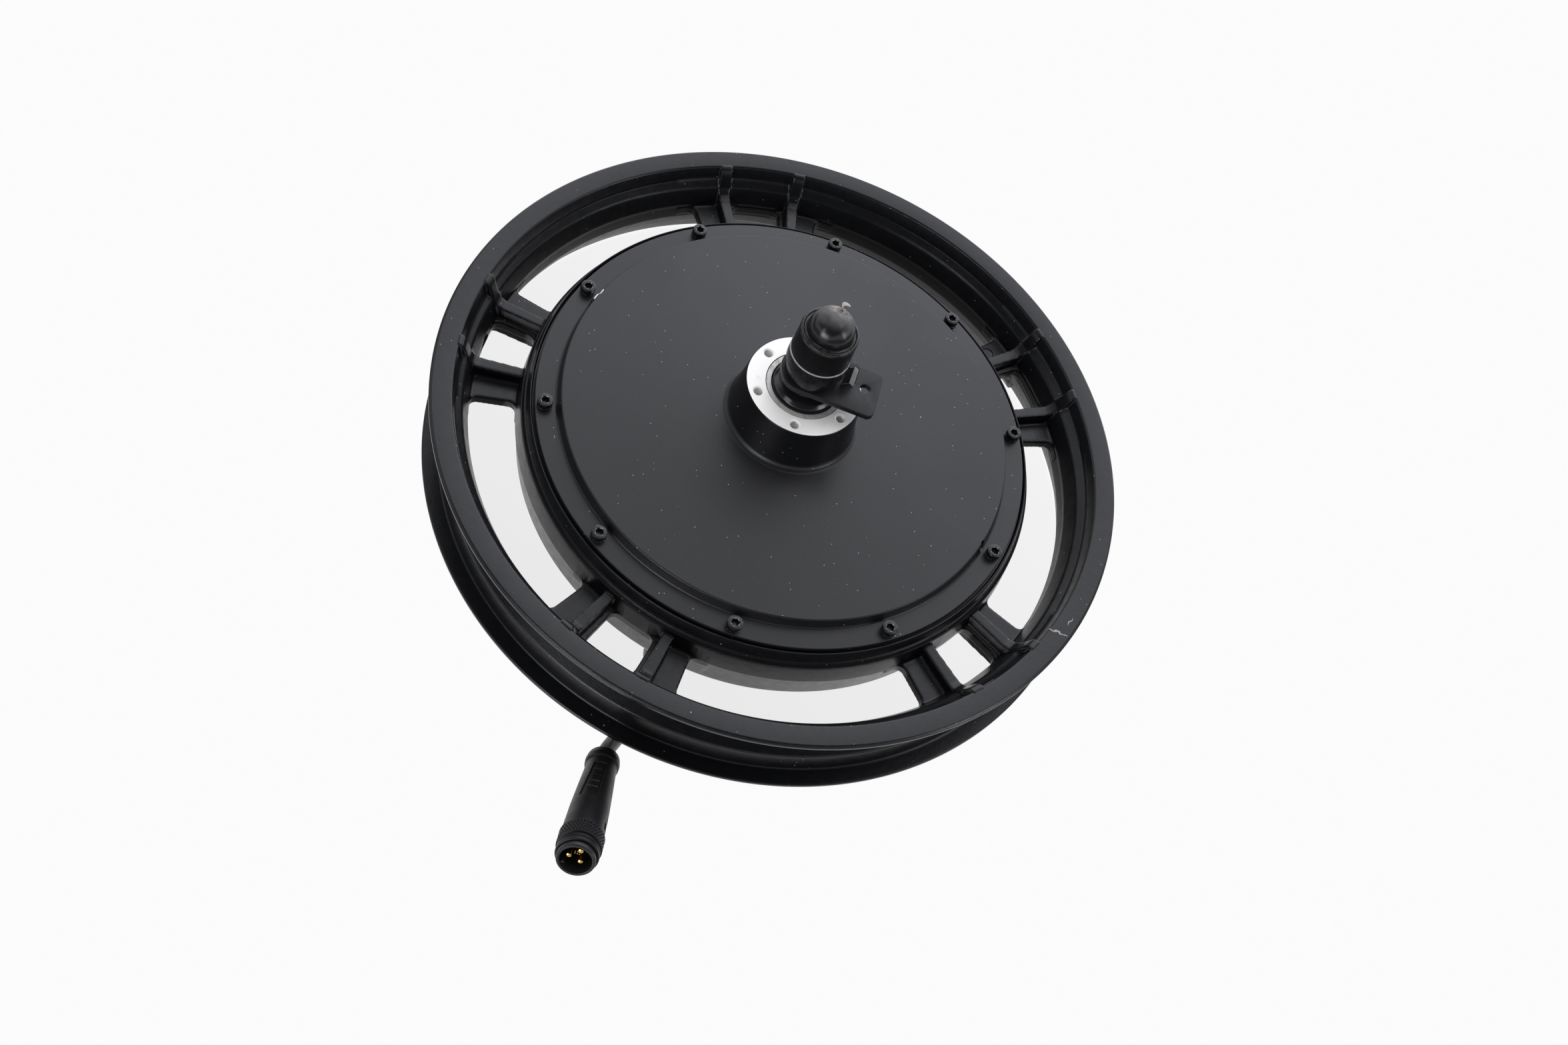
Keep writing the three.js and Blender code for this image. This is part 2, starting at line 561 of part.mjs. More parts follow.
function axleNut(boreR, flangeR, acrossCorners, y0, yFlange, y1) {
  const flange = solid(disc(flangeR, Math.min(y0, yFlange), Math.max(y0, yFlange)));
  const hex = new THREE.CylinderGeometry(acrossCorners, acrossCorners, Math.abs(y1 - yFlange) + 1, 6);
  hex.translate(0, (y1 + yFlange) / 2 + Math.sign(yFlange - y1) * 0.5, 0);
  const bore = solid(disc(boreR, Math.min(y0, y1) - 1, Math.max(y0, y1) + 1));
  return flange.add(solid(hex)).subtract(bore);
}
const BRAKE_NUT_Y = [-67.1, -74.3, -83.0];
place('brake_axle_nut', geometryOf(axleNut(THREAD_R + CUT_GAP, 13.6, 10.9, ...BRAKE_NUT_Y)), BLACK_STEEL);

// Rubber cap: a skirt over the nut, a rolled rim, and a dome.
const DOME_STEPS = 4;
function capGeometry() {
  const domeY = -89.6;
  const domeR = 10.3;
  const dome = [];
  for (let i = 0; i <= DOME_STEPS; i += 1) {
    const a = (i / DOME_STEPS) * (Math.PI / 2);
    dome.push([domeR * Math.cos(a), domeY - domeR * Math.sin(a)]);
  }
  dome[DOME_STEPS][0] = 0;
  return turned([
    [0, -92.0], [8.2, -90.0], [11.3, -87.0], [11.3, -74.4], [13.35, -74.4], [12.8, -88.2],
    [12.3, -88.8], [11.4, -88.4], [domeR, -88.6], ...dome,
  ], 24);
}
place('brake_axle_cap', capGeometry(), RUBBER);

// ---------------------------------------------------------------- cable-side axle hardware
const CABLE_WASHER_R = 14.0;
const cableWasherBore = CABLE_THREAD_R + CUT_GAP;
place('cable_side_spacer', ring(cableWasherBore, 12.0, 46.1, 60.0, SMALL_SEGMENTS), BLACK_STEEL);
place('cable_side_washer', ring(cableWasherBore, CABLE_WASHER_R, 66.0, 68.6, SMALL_SEGMENTS), BLACK_STEEL);
place('cable_axle_nut', geometryOf(axleNut(cableWasherBore, 13.6, 12.6, 68.7, 71.2, 82.0)), BLACK_STEEL);
place('cable_grommet', ring(CABLE_R + 0.2, 4.8, 90.0, 95.0, 16), RUBBER);

const CABLE_PATH = [
  [0, 30, 0], [0, 62, 0], [0, 84, 0], [0, 93, 0], [0, 97.5, 0], [-4, 104.5, -8], [-12, 107, -20],
  [-26, 102, -39],
  [-40, 86, -58], [-51, 65, -76], [-55, 51, -93], [-61, 43.5, -109], [-68.2, 38.4, -122],
  [-74.6, 34.0, -132.6], [-81.7, 26.4, -143.3], [-84.5, 21.8, -151.5],
];
place('motor_cable', cableAlong(CABLE_PATH, CABLE_R, 40, 8), RUBBER);

// ---------------------------------------------------------------- plug
// The plug's own frame has +Y towards its mouth, and its body starts 3 mm along it.
const plug = new THREE.Group();
const plugUp = new THREE.Vector3(...PLUG_AXIS).normalize();
const plugFront = new THREE.Vector3(...PLUG_FRONT);
plugFront.addScaledVector(plugUp, -plugFront.dot(plugUp)).normalize();
const plugSide = new THREE.Vector3().crossVectors(plugUp, plugFront);
plug.quaternion.setFromRotationMatrix(new THREE.Matrix4().makeBasis(plugSide, plugUp, plugFront));
plug.position.set(...PLUG_TIP).addScaledVector(plugUp, -PLUG_LONG);
parts.add(plug);

const BARREL_MOUTH_R = 7.85;
const KNURL_Y = [54.8, 61.8];
const bodyProfile = [
  [3.8, 2.8], [5.4, 3.4], [6.9, 5.2], [7.25, 7.7], [7.1, 10.2], [6.6, 11.6], [6.7, 15.0], [7.3, 24.0],
  [8.1, 38.0], [8.6, KNURL_Y[0] - CUT_GAP], [3.8, KNURL_Y[0] - CUT_GAP],
];
place('plug_body', turned(bodyProfile, SMALL_SEGMENTS), PLASTIC, plug);

const COUPLING_BORE_R = 8.1;
const couplingProfile = [
  [COUPLING_BORE_R, KNURL_Y[0]], [9.0, KNURL_Y[0]], [9.0, KNURL_Y[1]], [8.7, KNURL_Y[1] + 0.3],
  [8.7, 66.2], [COUPLING_BORE_R, 66.2],
];
place('plug_coupling_ring', turned(couplingProfile, SMALL_SEGMENTS), PLASTIC, plug);

const SOCKET_FLOOR_Y = 58.0;
place('plug_insert', geometryOf(solid(turned([
  [0, KNURL_Y[0]], [BARREL_MOUTH_R - 0.15, KNURL_Y[0]], [BARREL_MOUTH_R - 0.15, 66.6],
  [BARREL_MOUTH_R, 67.0], [BARREL_MOUTH_R, PLUG_LONG - 0.5], [BARREL_MOUTH_R - 0.5, PLUG_LONG],
  [6.4, PLUG_LONG], [6.4, SOCKET_FLOOR_Y], [0, SOCKET_FLOOR_Y],
], SMALL_SEGMENTS))), PLASTIC, plug);

const PIN_CIRCLE_R = 3.1;
const PIN_START = 110;
everyAngle(3, PIN_START).forEach((angle, i) => {
  const pin = turned([
    [0, SOCKET_FLOOR_Y + 0.02], [1.15, SOCKET_FLOOR_Y + 0.02], [1.15, 65.4], [0.6, 66.3], [0, 66.5],
  ], 8);
  const [x, z] = polar(PIN_CIRCLE_R, angle);
  place(`power_pin_${i + 1}`, pin.translate(x, 0, z), GOLD, plug);
});

export default parts;
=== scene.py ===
"""Looks of the hub motor wheel: fine surfaces, materials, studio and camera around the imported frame.

Shapes and the camera's place are given in millimetres and become metres when they are made; materials,
lights and the backdrop are in metres. The wheel spins about Y, its mid-plane is y = 0 and the brake side is
-Y. Angles run from +X towards +Z, in degrees. A profile is a list of (radius, y) corners, with a rounding
after them where one is round.
"""
import math
import random

import bmesh
import bpy
import numpy as np
from mathutils import Matrix, Vector

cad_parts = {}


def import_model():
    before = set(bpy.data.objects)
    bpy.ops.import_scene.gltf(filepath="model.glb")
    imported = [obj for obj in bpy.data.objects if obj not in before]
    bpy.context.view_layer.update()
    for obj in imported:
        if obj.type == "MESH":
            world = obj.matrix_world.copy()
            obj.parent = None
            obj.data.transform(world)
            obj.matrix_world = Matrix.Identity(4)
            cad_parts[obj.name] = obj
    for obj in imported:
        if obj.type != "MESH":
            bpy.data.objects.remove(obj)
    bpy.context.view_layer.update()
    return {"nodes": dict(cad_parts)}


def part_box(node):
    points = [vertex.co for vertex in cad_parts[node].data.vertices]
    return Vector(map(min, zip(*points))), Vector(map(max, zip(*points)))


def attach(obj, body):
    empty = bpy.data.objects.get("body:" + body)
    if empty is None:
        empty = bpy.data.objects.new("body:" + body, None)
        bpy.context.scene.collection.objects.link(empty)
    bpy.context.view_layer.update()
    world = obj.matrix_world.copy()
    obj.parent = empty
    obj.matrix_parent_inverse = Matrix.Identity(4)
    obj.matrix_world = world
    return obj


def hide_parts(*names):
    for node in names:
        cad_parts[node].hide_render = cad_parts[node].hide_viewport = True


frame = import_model()
rng = random.Random(11)

MM = 0.001
FIXED, WHEEL, RING = "axle_group", "wheel", "coupling_ring"
FINE, MEDIUM, SMALL = 360, 144, 72       # segments of large, middle and small turned pieces


def far_corner(node):
    """Highest corner of a CAD node's box, in millimetres."""
    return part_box(node)[1] / MM


LIP_R, LIP_Y = far_corner("cast_wheel").x, far_corner("cast_wheel").y
COVER_R = far_corner("brake_side_cover").x
SCREW_COUNT, SCREW_R = 10, 110.7
SCREW_HEAD_R, SCREW_TOP_Y, SCREW_WASHER_Y = 3.4, -24.01, -20.9
DISC_BOLTS, DISC_BOLT_R, DISC_BOLT_START = 6, 22, 12.4
BOSS_Y = -48.6
NOTCH_ANGLES = (144.1, 323.5)
PAIR_COUNT, PAIR_START = 5, 89.25        # spoke pairs, and the angle of the first
RIB_ANGLE, RIB_WIDTH, RIB_Y = 7.2, 5.3, 9
WEB_ANGLE, WEB_Y = 13, 2.6
WEB_IN_R, WEB_OUT_R = 118.6, 144.6
WINDOW_IN_R, WINDOW_OUT_R = 121.3, 141.8
WINDOW_CORNER = 3.8
SMALL_WINDOW_ANGLE = 5
PATCH_ANGLE, PATCH_SINK = 17, 0.12     # the strips of hub and rim that a pair's fillets grow from
SPOKE_VOXEL = 0.00055
VALVE_ANGLE, VALVE_HOLE_R = PAIR_START + 360 / PAIR_COUNT, 4.3
DATE_BOSS_R, DATE_BOSS_ANGLE = 130.2, PAIR_START - 72 + 10.6
PLATE_Y = (-60.7, -57.9)
LUG_FOOT = [(12.3, -6.4), (16.5, -5.7), (18, -7.4), (19.1, -5.9), (17.5, -2.6), (14, -2.6)]
LUG_TOP = [(12.3, -6.4), (15.3, -5.7), (16.6, -7.4), (17.7, -5.9), (16.6, -2.8), (14, -2.6)]
LUG_TOP_Y = -72.9
NUT_WEAR = 0.42
DOME_R, DOME_Y, DOME_STEPS, LUMPS_Y = 10.3, -89.6, 32, -91.5
CABLE_RADIUS = 3.4
CABLE_POINTS = [
    (0, 30, 0), (0, 62, 0), (0, 84, 0), (0, 93, 0), (0, 97.5, 0), (-4, 104.5, -8), (-12, 107, -20),
    (-26, 102, -39), (-40, 86, -58), (-51, 65, -76), (-55, 51, -93), (-61, 43.5, -109), (-68.2, 38.4, -122),
    (-74.6, 34, -132.6), (-81.7, 26.4, -143.3), (-84.5, 21.8, -151.5),
]
PLUG_TIP = Vector((-101.2, -6, -201))
PLUG_AXIS = Vector((-0.282, -0.470, -0.836)).normalized()
PLUG_LONG = 69
KNURL_Y, KNURL_COUNT = (54.8, 61.8), 20
MOUTH_R, SOCKET_FLOOR_Y = 7.85, 58
PIN_CIRCLE_R, PIN_START, PIN_COUNT = 3.1, 110, 3
KEY_ANGLE = -35
CAMERA_PLACE = Vector((-196.9, -596.5, -395.3))
CAMERA_RIGHT = Vector((0.9609, -0.2601, -0.0952))
CAMERA_UP = Vector((-0.0487, -0.4972, 0.8662))
CAMERA_LENS = 36.48


# ---- node materials
class Tree:
    """Short ways to add shader nodes to a material or a world."""

    def __init__(self, owner):
        owner.use_nodes = True
        self.tree = owner.node_tree

    def feed(self, socket, value):
        """Links another socket, or sets a plain value."""
        if hasattr(value, "is_linked"):
            self.tree.links.new(value, socket)
        else:
            socket.default_value = value

    def add(self, kind, inputs=None, **settings):
        """A node with its settings, and its inputs by name or number."""
        node = self.tree.nodes.new("ShaderNode" + kind)
        for key, value in settings.items():
            setattr(node, key, value)
        for key, value in (inputs or {}).items():
            self.feed(node.inputs[key], value)
        return node

    def math(self, operation, a, b=0, clamp=False):
        return self.add("Math", {0: a, 1: b}, operation=operation, use_clamp=clamp).outputs[0]

    def times(self, a, b):
        return self.math("MULTIPLY", a, b)

    def plus(self, a, b, clamp=False):
        return self.math("ADD", a, b, clamp)

    def larger(self, a, b):
        return self.math("MAXIMUM", a, b)

    def dot(self, a, b):
        return self.add("VectorMath", {0: a, 1: b}, operation="DOT_PRODUCT").outputs["Value"]

    def step(self, value, low, high, to_low=0, to_high=1):
        """A smooth step of value from low to high."""
        inputs = {"Value": value, "From Min": low, "From Max": high, "To Min": to_low, "To Max": to_high}
        return self.add("MapRange", inputs, interpolation_type="SMOOTHSTEP").outputs["Result"]

    def mix(self, factor, a, b):
        """A colour between a and b."""
        a, b = (c if hasattr(c, "is_linked") else (*c, 1) for c in (a, b))
        return self.add("Mix", {0: factor, 6: a, 7: b}, data_type="RGBA").outputs[2]

    def between(self, factor, a, b):
        """A number between a and b."""
        return self.add("Mix", {0: factor, 2: a, 3: b}, data_type="FLOAT").outputs[0]

    def split(self, vector):
        return self.add("SeparateXYZ", {0: vector}).outputs

    def radius(self, place):
        """Distance of a place from the wheel's axis."""
        x, _, z = self.split(place)
        return self.math("SQRT", self.plus(self.times(x, x), self.times(z, z)))


class Material(Tree):
    """A material around a Principled shader."""

    def __init__(self, name, color, roughness=0.5, metallic=0, specular=0.5):
        self.material = bpy.data.materials.new(name)
        super().__init__(self.material)
        self.shader = self.tree.nodes["Principled BSDF"]
        self.place = self.add("TexCoord").outputs["Object"]
        self.color = color
        self.set("Base Color", (*color, 1))
        self.set("Roughness", roughness)
        self.set("Metallic", metallic)
        self.set("Specular IOR Level", specular)

    def set(self, name, value):
        self.feed(self.shader.inputs[name], value)

    def finish(self, color, roughness, height, depth):
        """Feeds the colour, the roughness and a bump of the given depth, and gives the material."""
        self.set("Base Color", color)
        self.set("Roughness", roughness)
        bump = self.add("Bump", {"Height": height, "Distance": depth, "Strength": 1})
        self.set("Normal", bump.outputs["Normal"])
        return self.material

    def tones(self, factor, low, high):
        """The material's colour, from low to high times as bright."""
        return self.mix(factor, [c * low for c in self.color], [c * high for c in self.color])

    def noise(self, scale, detail=3, rough=0.5, vector=None):
        """Noise with about scale bumps in each metre."""
        inputs = {"Vector": vector or self.place, "Scale": scale, "Detail": detail, "Roughness": rough}
        return self.add("TexNoise", inputs).outputs["Fac"]

    def rings(self):
        """A place that only changes with distance from the wheel's axis."""
        return self.add("CombineXYZ", {0: self.radius(self.place)}).outputs[0]

    def specks(self, cells, radius, share):
        """Small round specks: cells of them in each metre, kept in a share of the cells."""
        cell = self.add("TexVoronoi", {"Vector": self.place, "Scale": cells}).outputs
        near = self.step(cell["Distance"], radius * cells, radius * cells * 0.4)
        chance = self.add("SeparateColor", {0: cell["Color"]}).outputs[0]
        return self.times(near, self.math("LESS_THAN", chance, share))

    def edges(self, radius):
        """One on sharp edges and zero on open faces."""
        soft = self.add("Bevel", {"Radius": radius}, samples=4).outputs["Normal"]
        true = self.add("NewGeometry").outputs["Normal"]
        return self.step(self.dot(soft, true), 0.985, 0.90)


def powder_coat(name, color, roughness, grain, dust, specular=0.5):
    """Fine-grained coat with faint clouds, grain and scattered dust specks."""
    m = Material(name, color, roughness, specular=specular)
    cloud = m.step(m.noise(14, 4), 0.35, 0.7)
    fine = m.noise(1700, 2)
    light = [c * 2.2 + 0.006 for c in color]
    tone = m.mix(m.step(fine, 0.3, 0.75, 0, grain), m.tones(cloud, 0.88, 1.12), light)
    specks = m.plus(m.specks(190, 0.00036, dust * 0.3), m.specks(430, 0.00025, dust), clamp=True)
    gloss = m.step(cloud, 0, 1, roughness - 0.03, roughness + 0.04)
    height = m.plus(fine, m.times(m.noise(520, 2), 0.8))
    return m.finish(m.mix(specks, tone, (0.50, 0.49, 0.47)), gloss, height, 0.000022)


def casting_coat():
    """Satin black coat over a casting: softer grain, dust, scratches, and painted shade on the walls inside
    the far half, where their reflections are turned down.
    """
    m = Material("satin_black_casting", (0.0052, 0.0054, 0.0062), specular=0.40)
    fine, soft = m.noise(1300, 2), m.noise(260, 3)
    tone = m.tones(m.step(m.noise(18, 4), 0.35, 0.7), 0.85, 1.2)
    specks = m.plus(m.specks(180, 0.00042, 0.06), m.specks(430, 0.00028, 0.08), clamp=True)
    pale = m.plus(m.times(specks, 0.8), rim_scratches(m), clamp=True)
    radius = m.radius(m.place)
    inner_wall = m.times(m.step(radius, 0.124, 0.128), m.step(radius, 0.1475, 0.1460))
    far_half = m.step(m.split(m.place)[1], -0.006, -0.001)
    normal = m.add("NewGeometry").outputs["Normal"]
    sideways = m.step(m.math("ABSOLUTE", m.split(normal)[1]), 0.75, 0.45)
    # painted shade: the reflections of the inner walls in the far half are turned down
    painted_shade = m.times(m.times(inner_wall, far_half), sideways)
    m.set("Specular IOR Level", m.step(painted_shade, 0, 1, 0.40, 0.06))
    color = m.mix(pale, tone, (0.40, 0.38, 0.35))
    return m.finish(color, m.step(soft, 0.3, 0.75, 0.28, 0.35), m.plus(fine, m.times(soft, 1.6)), 0.000035)


SCRATCHES = ((0.1120, -0.1045, -0.55, 0.0062), (0.1205, -0.0985, 0.9, 0.0016))


def rim_scratches(m):
    """Short wandering scratches on the brake-side flange: centre x and z, slope and half length of each."""
    x, y, z = m.split(m.place)
    wander = m.times(m.math("SUBTRACT", m.noise(160, 3), 0.5), 0.009)
    total = 0
    for centre_x, centre_z, slope, half in SCRATCHES:
        along = m.math("SUBTRACT", x, centre_x)
        rise = m.math("SUBTRACT", z, centre_z)
        across = m.plus(m.math("SUBTRACT", rise, m.times(along, slope)), wander)
        line = m.step(m.math("ABSOLUTE", across), 0.00042, 0.00012)
        reach = m.step(m.math("ABSOLUTE", along), half, half * 0.8)
        total = m.larger(total, m.times(line, reach))
    on_flange = m.math("LESS_THAN", y, -0.0212)
    return m.times(total, m.times(on_flange, 0.8))


def turned_aluminium():
    """Machined face: fine concentric tool marks, faint stains."""
    m = Material("turned_aluminium", (0.84, 0.83, 0.80), metallic=0.12)
    marks = m.math("SINE", m.times(m.radius(m.place), 21000))
    broad = m.noise(900, 2, vector=m.rings())
    stain = m.step(m.noise(170, 4), 0.60, 0.82)
    color = m.mix(m.times(stain, 0.35), (0.86, 0.85, 0.82), (0.55, 0.53, 0.50))
    return m.finish(color, m.step(broad, 0.3, 0.7, 0.34, 0.46), m.plus(marks, m.times(broad, 2)), 0.000005)


def ground_steel(name, color, roughness, metallic):
    """Bearing steel: turned marks and greasy smudges."""
    m = Material(name, color, roughness, metallic=metallic)
    smudge = m.step(m.noise(420, 4), 0.45, 0.7)
    gloss = m.step(smudge, 0, 1, roughness, roughness + 0.2)
    return m.finish(m.tones(smudge, 1, 0.75), gloss, m.noise(2500, 2, vector=m.rings()), 0.00002)


def blackened_steel():
    """Black finish rubbed through to metal along the edges."""
    m = Material("blackened_steel", (0.006, 0.006, 0.0068))
    worn = m.times(m.edges(0.00032), m.step(m.noise(700, 3), 0.38, 0.60))
    scuff = m.step(m.noise(240, 5, 0.7), 0.66, 0.84, 0, 0.25)
    m.set("Metallic", m.step(worn, 0, 1, 0.1, 0.85))
    color = m.mix(m.larger(worn, scuff), m.color, (0.30, 0.32, 0.31))
    return m.finish(color, m.step(m.noise(330, 3), 0.3, 0.7, 0.22, 0.34), m.noise(1500, 2), 0.00003)


def plate_steel():
    """Torque plate: matt black, light edges, a few rubbed spots."""
    m = Material("torque_plate_black", (0.009, 0.009, 0.010), specular=0.34)
    worn = m.times(m.edges(0.0003), m.step(m.noise(420, 3), 0.40, 0.62, 0.15, 0.9))
    grey = m.step(m.noise(150, 4), 0.55, 0.8, 0, 0.25)
    color = m.mix(worn, m.mix(grey, m.color, (0.030, 0.029, 0.028)), (0.34, 0.34, 0.33))
    return m.finish(color, m.step(m.noise(500, 3), 0.3, 0.7, 0.38, 0.46), m.noise(1400, 3), 0.00002)


def cap_rubber():
    """Rubber cap: glossy skirt, a painted highlight line, broken by noise, on its rolled rim, and a dome
    dusty and crusted at its top.
    """
    m = Material("cap_rubber", (0.006, 0.006, 0.0065))
    x, y, z = m.split(m.place)
    height = m.plus(y, m.plus(m.times(x, -0.25), m.times(z, -0.45)))
    film = m.step(height, -0.0925, -0.1015)
    cloudy = m.step(m.noise(150, 3, 0.45), 0.25, 0.75, 0.35, 1)
    dust = m.math("MULTIPLY", film, cloudy, clamp=True)
    # painted highlight: a pale line along the rolled rim, broken up by noise
    rim_highlight_band = m.times(m.step(y, -0.0876, -0.0882), m.step(y, -0.0892, -0.0887, 0, 0.10))
    rim_highlight = m.times(m.step(m.noise(600, 3), 0.4, 0.62), rim_highlight_band)
    tone = m.mix(m.larger(m.times(dust, 0.50), rim_highlight), m.color, (0.23, 0.225, 0.22))
    crust = m.times(m.step(m.noise(420, 6, 0.7), 0.47, 0.57), m.step(height, -0.0992, -0.1022))
    crust = m.larger(crust, m.step(y, -0.1003, -0.1007))
    color = m.mix(m.times(crust, 0.8), tone, (0.46, 0.40, 0.35))
    gloss = m.step(m.larger(dust, crust), 0, 1, 0.26, 0.62)
    return m.finish(color, gloss, m.plus(m.noise(700, 2), m.times(crust, 2)), 0.000008)


def moulded(name, color, roughness, grain_size, grain_depth, specular=0.5):
    """Moulded rubber or plastic with its own grain."""
    m = Material(name, color, specular=specular)
    gloss = m.step(m.noise(150, 3), 0.3, 0.7, roughness - 0.04, roughness + 0.06)
    return m.finish(m.tones(m.noise(60, 3), 0.8, 1.3), gloss, m.noise(grain_size, 3), grain_depth)


def gold_plate():
    m = Material("gold_plate", (0.83, 0.56, 0.20), metallic=1)
    color = m.mix(m.noise(1500, 2), (0.90, 0.62, 0.25), (0.72, 0.45, 0.13))
    return m.finish(color, 0.24, m.noise(3000, 2), 0.00001)


def layered(name, color, dark, roughness, metallic, lines):
    """Hidden motor parts: sheets, wires or plating as lines along the axle, with stains."""
    m = Material(name, color, metallic=metallic)
    stripe = m.math("SINE", m.times(m.split(m.place)[1], lines))
    return m.finish(m.mix(m.step(m.noise(90, 4), 0.3, 0.7), color, dark), roughness, stripe, 0.00008)


CASTING = casting_coat()
COVER_COAT = powder_coat("charcoal_cover", (0.0060, 0.0061, 0.0066), 0.38, 0.22, 0.16, 0.48)
BOSS_COAT = powder_coat("black_boss", (0.0030, 0.0031, 0.0036), 0.29, 0.12, 0.16)
BARE_FACE = turned_aluminium()
RACE = ground_steel("bearing_steel", (0.46, 0.45, 0.43), 0.42, 0.4)
WORN_FACE = ground_steel("worn_steel", (0.36, 0.37, 0.36), 0.45, 0.2)
BLACK_STEEL = blackened_steel()
PLATE = plate_steel()
CAP = cap_rubber()
SEAL = moulded("glossy_seal", (0.008, 0.008, 0.0095), 0.16, 500, 0.00002, 0.6)
RUBBER = moulded("matt_rubber", (0.013, 0.013, 0.014), 0.52, 900, 0.00006)
JACKET = moulded("cable_jacket", (0.012, 0.012, 0.014), 0.34, 1400, 0.00006)
PLASTIC = moulded("moulded_plastic", (0.0042, 0.0042, 0.0046), 0.42, 2200, 0.00004, 0.32)
SOCKET = moulded("socket_plastic", (0.007, 0.007, 0.0075), 0.4, 2200, 0.00003)
GOLD = gold_plate()
CHIP = moulded("bare_chip", (0.92, 0.92, 0.90), 0.55, 900, 0.00006)
STEEL_PIECE = (FIXED, BLACK_STEEL, "blackened_steel")


# ---- outlines
def polar(radius, degrees):
    a = math.radians(degrees)
    return radius * math.cos(a), radius * math.sin(a)


def every_angle(count, start=0):
    return [start + 360 / count * i for i in range(count)]


def circle(radius, centre_x=0, centre_z=0):
    points = (polar(radius, angle) for angle in every_angle(48))
    return [(centre_x + x, centre_z + z) for x, z in points]


def arc_points(radius, start, end, steps=24):
    return [polar(radius, start + (end - start) * k / steps) for k in range(steps + 1)]


def bend(a, b, c, steps):
    """A soft corner from a to c that b pulls on, with its ends."""
    ends = Vector(a), Vector(b), Vector(c)
    ts = [k / steps for k in range(1, steps)]
    return [a, *(tuple(ends[0] * (1 - t) ** 2 + ends[1] * 2 * t * (1 - t) + ends[2] * t * t) for t in ts), c]


def rounded(corners, steps=5, closed=True):
    """An outline from (x, y) or (x, y, rounding) corners, each rounding drawn as an arc."""
    outline = []
    count = len(corners)
    for i, (x, y, *rounding) in enumerate(corners):
        if not rounding or (not closed and i in (0, count - 1)):
            outline.append((x, y))
            continue
        here = Vector((x, y))
        before = Vector(corners[i - 1][:2]) - here
        after = Vector(corners[(i + 1) % count][:2]) - here
        half = before.angle(after) / 2
        reach = min(rounding[0] / math.tan(half), 0.48 * before.length, 0.48 * after.length)
        radius = reach * math.tan(half)
        inward = (before.normalized() + after.normalized()).normalized()
        centre = here + inward * (radius / math.sin(half))
        start = here + before.normalized() * reach - centre
        end = here + after.normalized() * reach - centre
        first = math.atan2(start.y, start.x)
        turn = (math.atan2(end.y, end.x) - first + math.pi) % (2 * math.pi) - math.pi
        for k in range(steps + 1):
            a = first + turn * k / steps
            outline.append((centre.x + radius * math.cos(a), centre.y + radius * math.sin(a)))
    return outline


def refine(profile, step):
    """Extra points along a closed profile so that no edge is longer than step."""
    fine = []
    for (r0, y0), (r1, y1) in zip(profile, profile[1:] + profile[:1]):
        count = max(1, int(math.hypot(r1 - r0, y1 - y0) / step))
        fine += [(r0 + (r1 - r0) * k / count, y0 + (y1 - y0) * k / count) for k in range(count)]
    return fine


# ---- mesh tools
def lathe(profile, segments):
    """Vertices and faces of a profile turned about Y: a closed outline, or one between two axis points."""
    on_axis = profile[0][0] < 1e-6 and profile[-1][0] < 1e-6
    inner = profile[1:-1] if on_axis else profile
    angles = [2 * math.pi * i / segments for i in range(segments)]
    vertices = [(r * math.cos(a), y, r * math.sin(a)) for r, y in inner for a in angles]
    faces = []
    for row in range(len(inner) - 1 if on_axis else len(inner)):
        here, there = row * segments, ((row + 1) % len(inner)) * segments
        for i in range(segments):
            j = (i + 1) % segments
            faces.append((here + i, here + j, there + j, there + i))
    if on_axis:
        last = (len(inner) - 1) * segments
        for centre_y, ring_start in ((profile[0][1], 0), (profile[-1][1], last)):
            vertices.append((0, centre_y, 0))
            tip = len(vertices) - 1
            faces.extend((tip, ring_start + i, ring_start + (i + 1) % segments) for i in range(segments))
    return vertices, faces


def new_object(name, data):
    made = bpy.data.objects.new(name, data)
    bpy.context.scene.collection.objects.link(made)
    return made


def facing_out(mesh, change=None):
    """Turns a mesh's faces outwards, after an optional change to it."""
    shape = bmesh.new()
    shape.from_mesh(mesh)
    if change:
        change(shape)
    bmesh.ops.recalc_face_normals(shape, faces=shape.faces)
    shape.to_mesh(mesh)
    shape.free()
    return mesh


def solid(name, vertices, faces):
    """An object in metres from millimetre vertices."""
    mesh = bpy.data.meshes.new(name)
    mesh.from_pydata([(x * MM, y * MM, z * MM) for x, y, z in vertices], [], faces)
    return new_object(name, facing_out(mesh))


def turned(name, corners, segments, steps=2):
    """A profile turned about Y: from axis to axis if it starts on the axis, else as a ring."""
    outline = rounded(corners, steps, closed=corners[0][0] > 0)
    return solid(name, *lathe(outline, segments))


def rod(name, radius, y0, y1, segments):
    return turned(name, [(0, y0), (radius, y0), (radius, y1), (0, y1)], segments)


def loft(name, rings):
    """A capped skin over rings that have the same number of points."""
    count = len(rings[0])
    faces = [tuple(range(count)), tuple(range((len(rings) - 1) * count, len(rings) * count))]
    for start in range(0, (len(rings) - 1) * count, count):
        for i in range(count):
            j = (i + 1) % count
            faces.append((start + i, start + j, start + count + j, start + count + i))
    return solid(name, [point for ring in rings for point in ring], faces)


def sector(name, outline, half_angle, steps):
    """A closed outline of (radius, y) swept between two angles about +X."""
    angles = [math.radians(half_angle) * (2 * k / steps - 1) for k in range(steps + 1)]
    return loft(name, [[(r * math.cos(a), y, r * math.sin(a)) for r, y in outline] for a in angles])


def evaluated_mesh(piece):
    graph = bpy.context.evaluated_depsgraph_get()
    return bpy.data.meshes.new_from_object(piece.evaluated_get(graph))


def baked(piece):
    """The piece with its modifiers applied."""
    mesh = evaluated_mesh(piece)
    piece.modifiers.clear()
    piece.data = mesh
    return piece


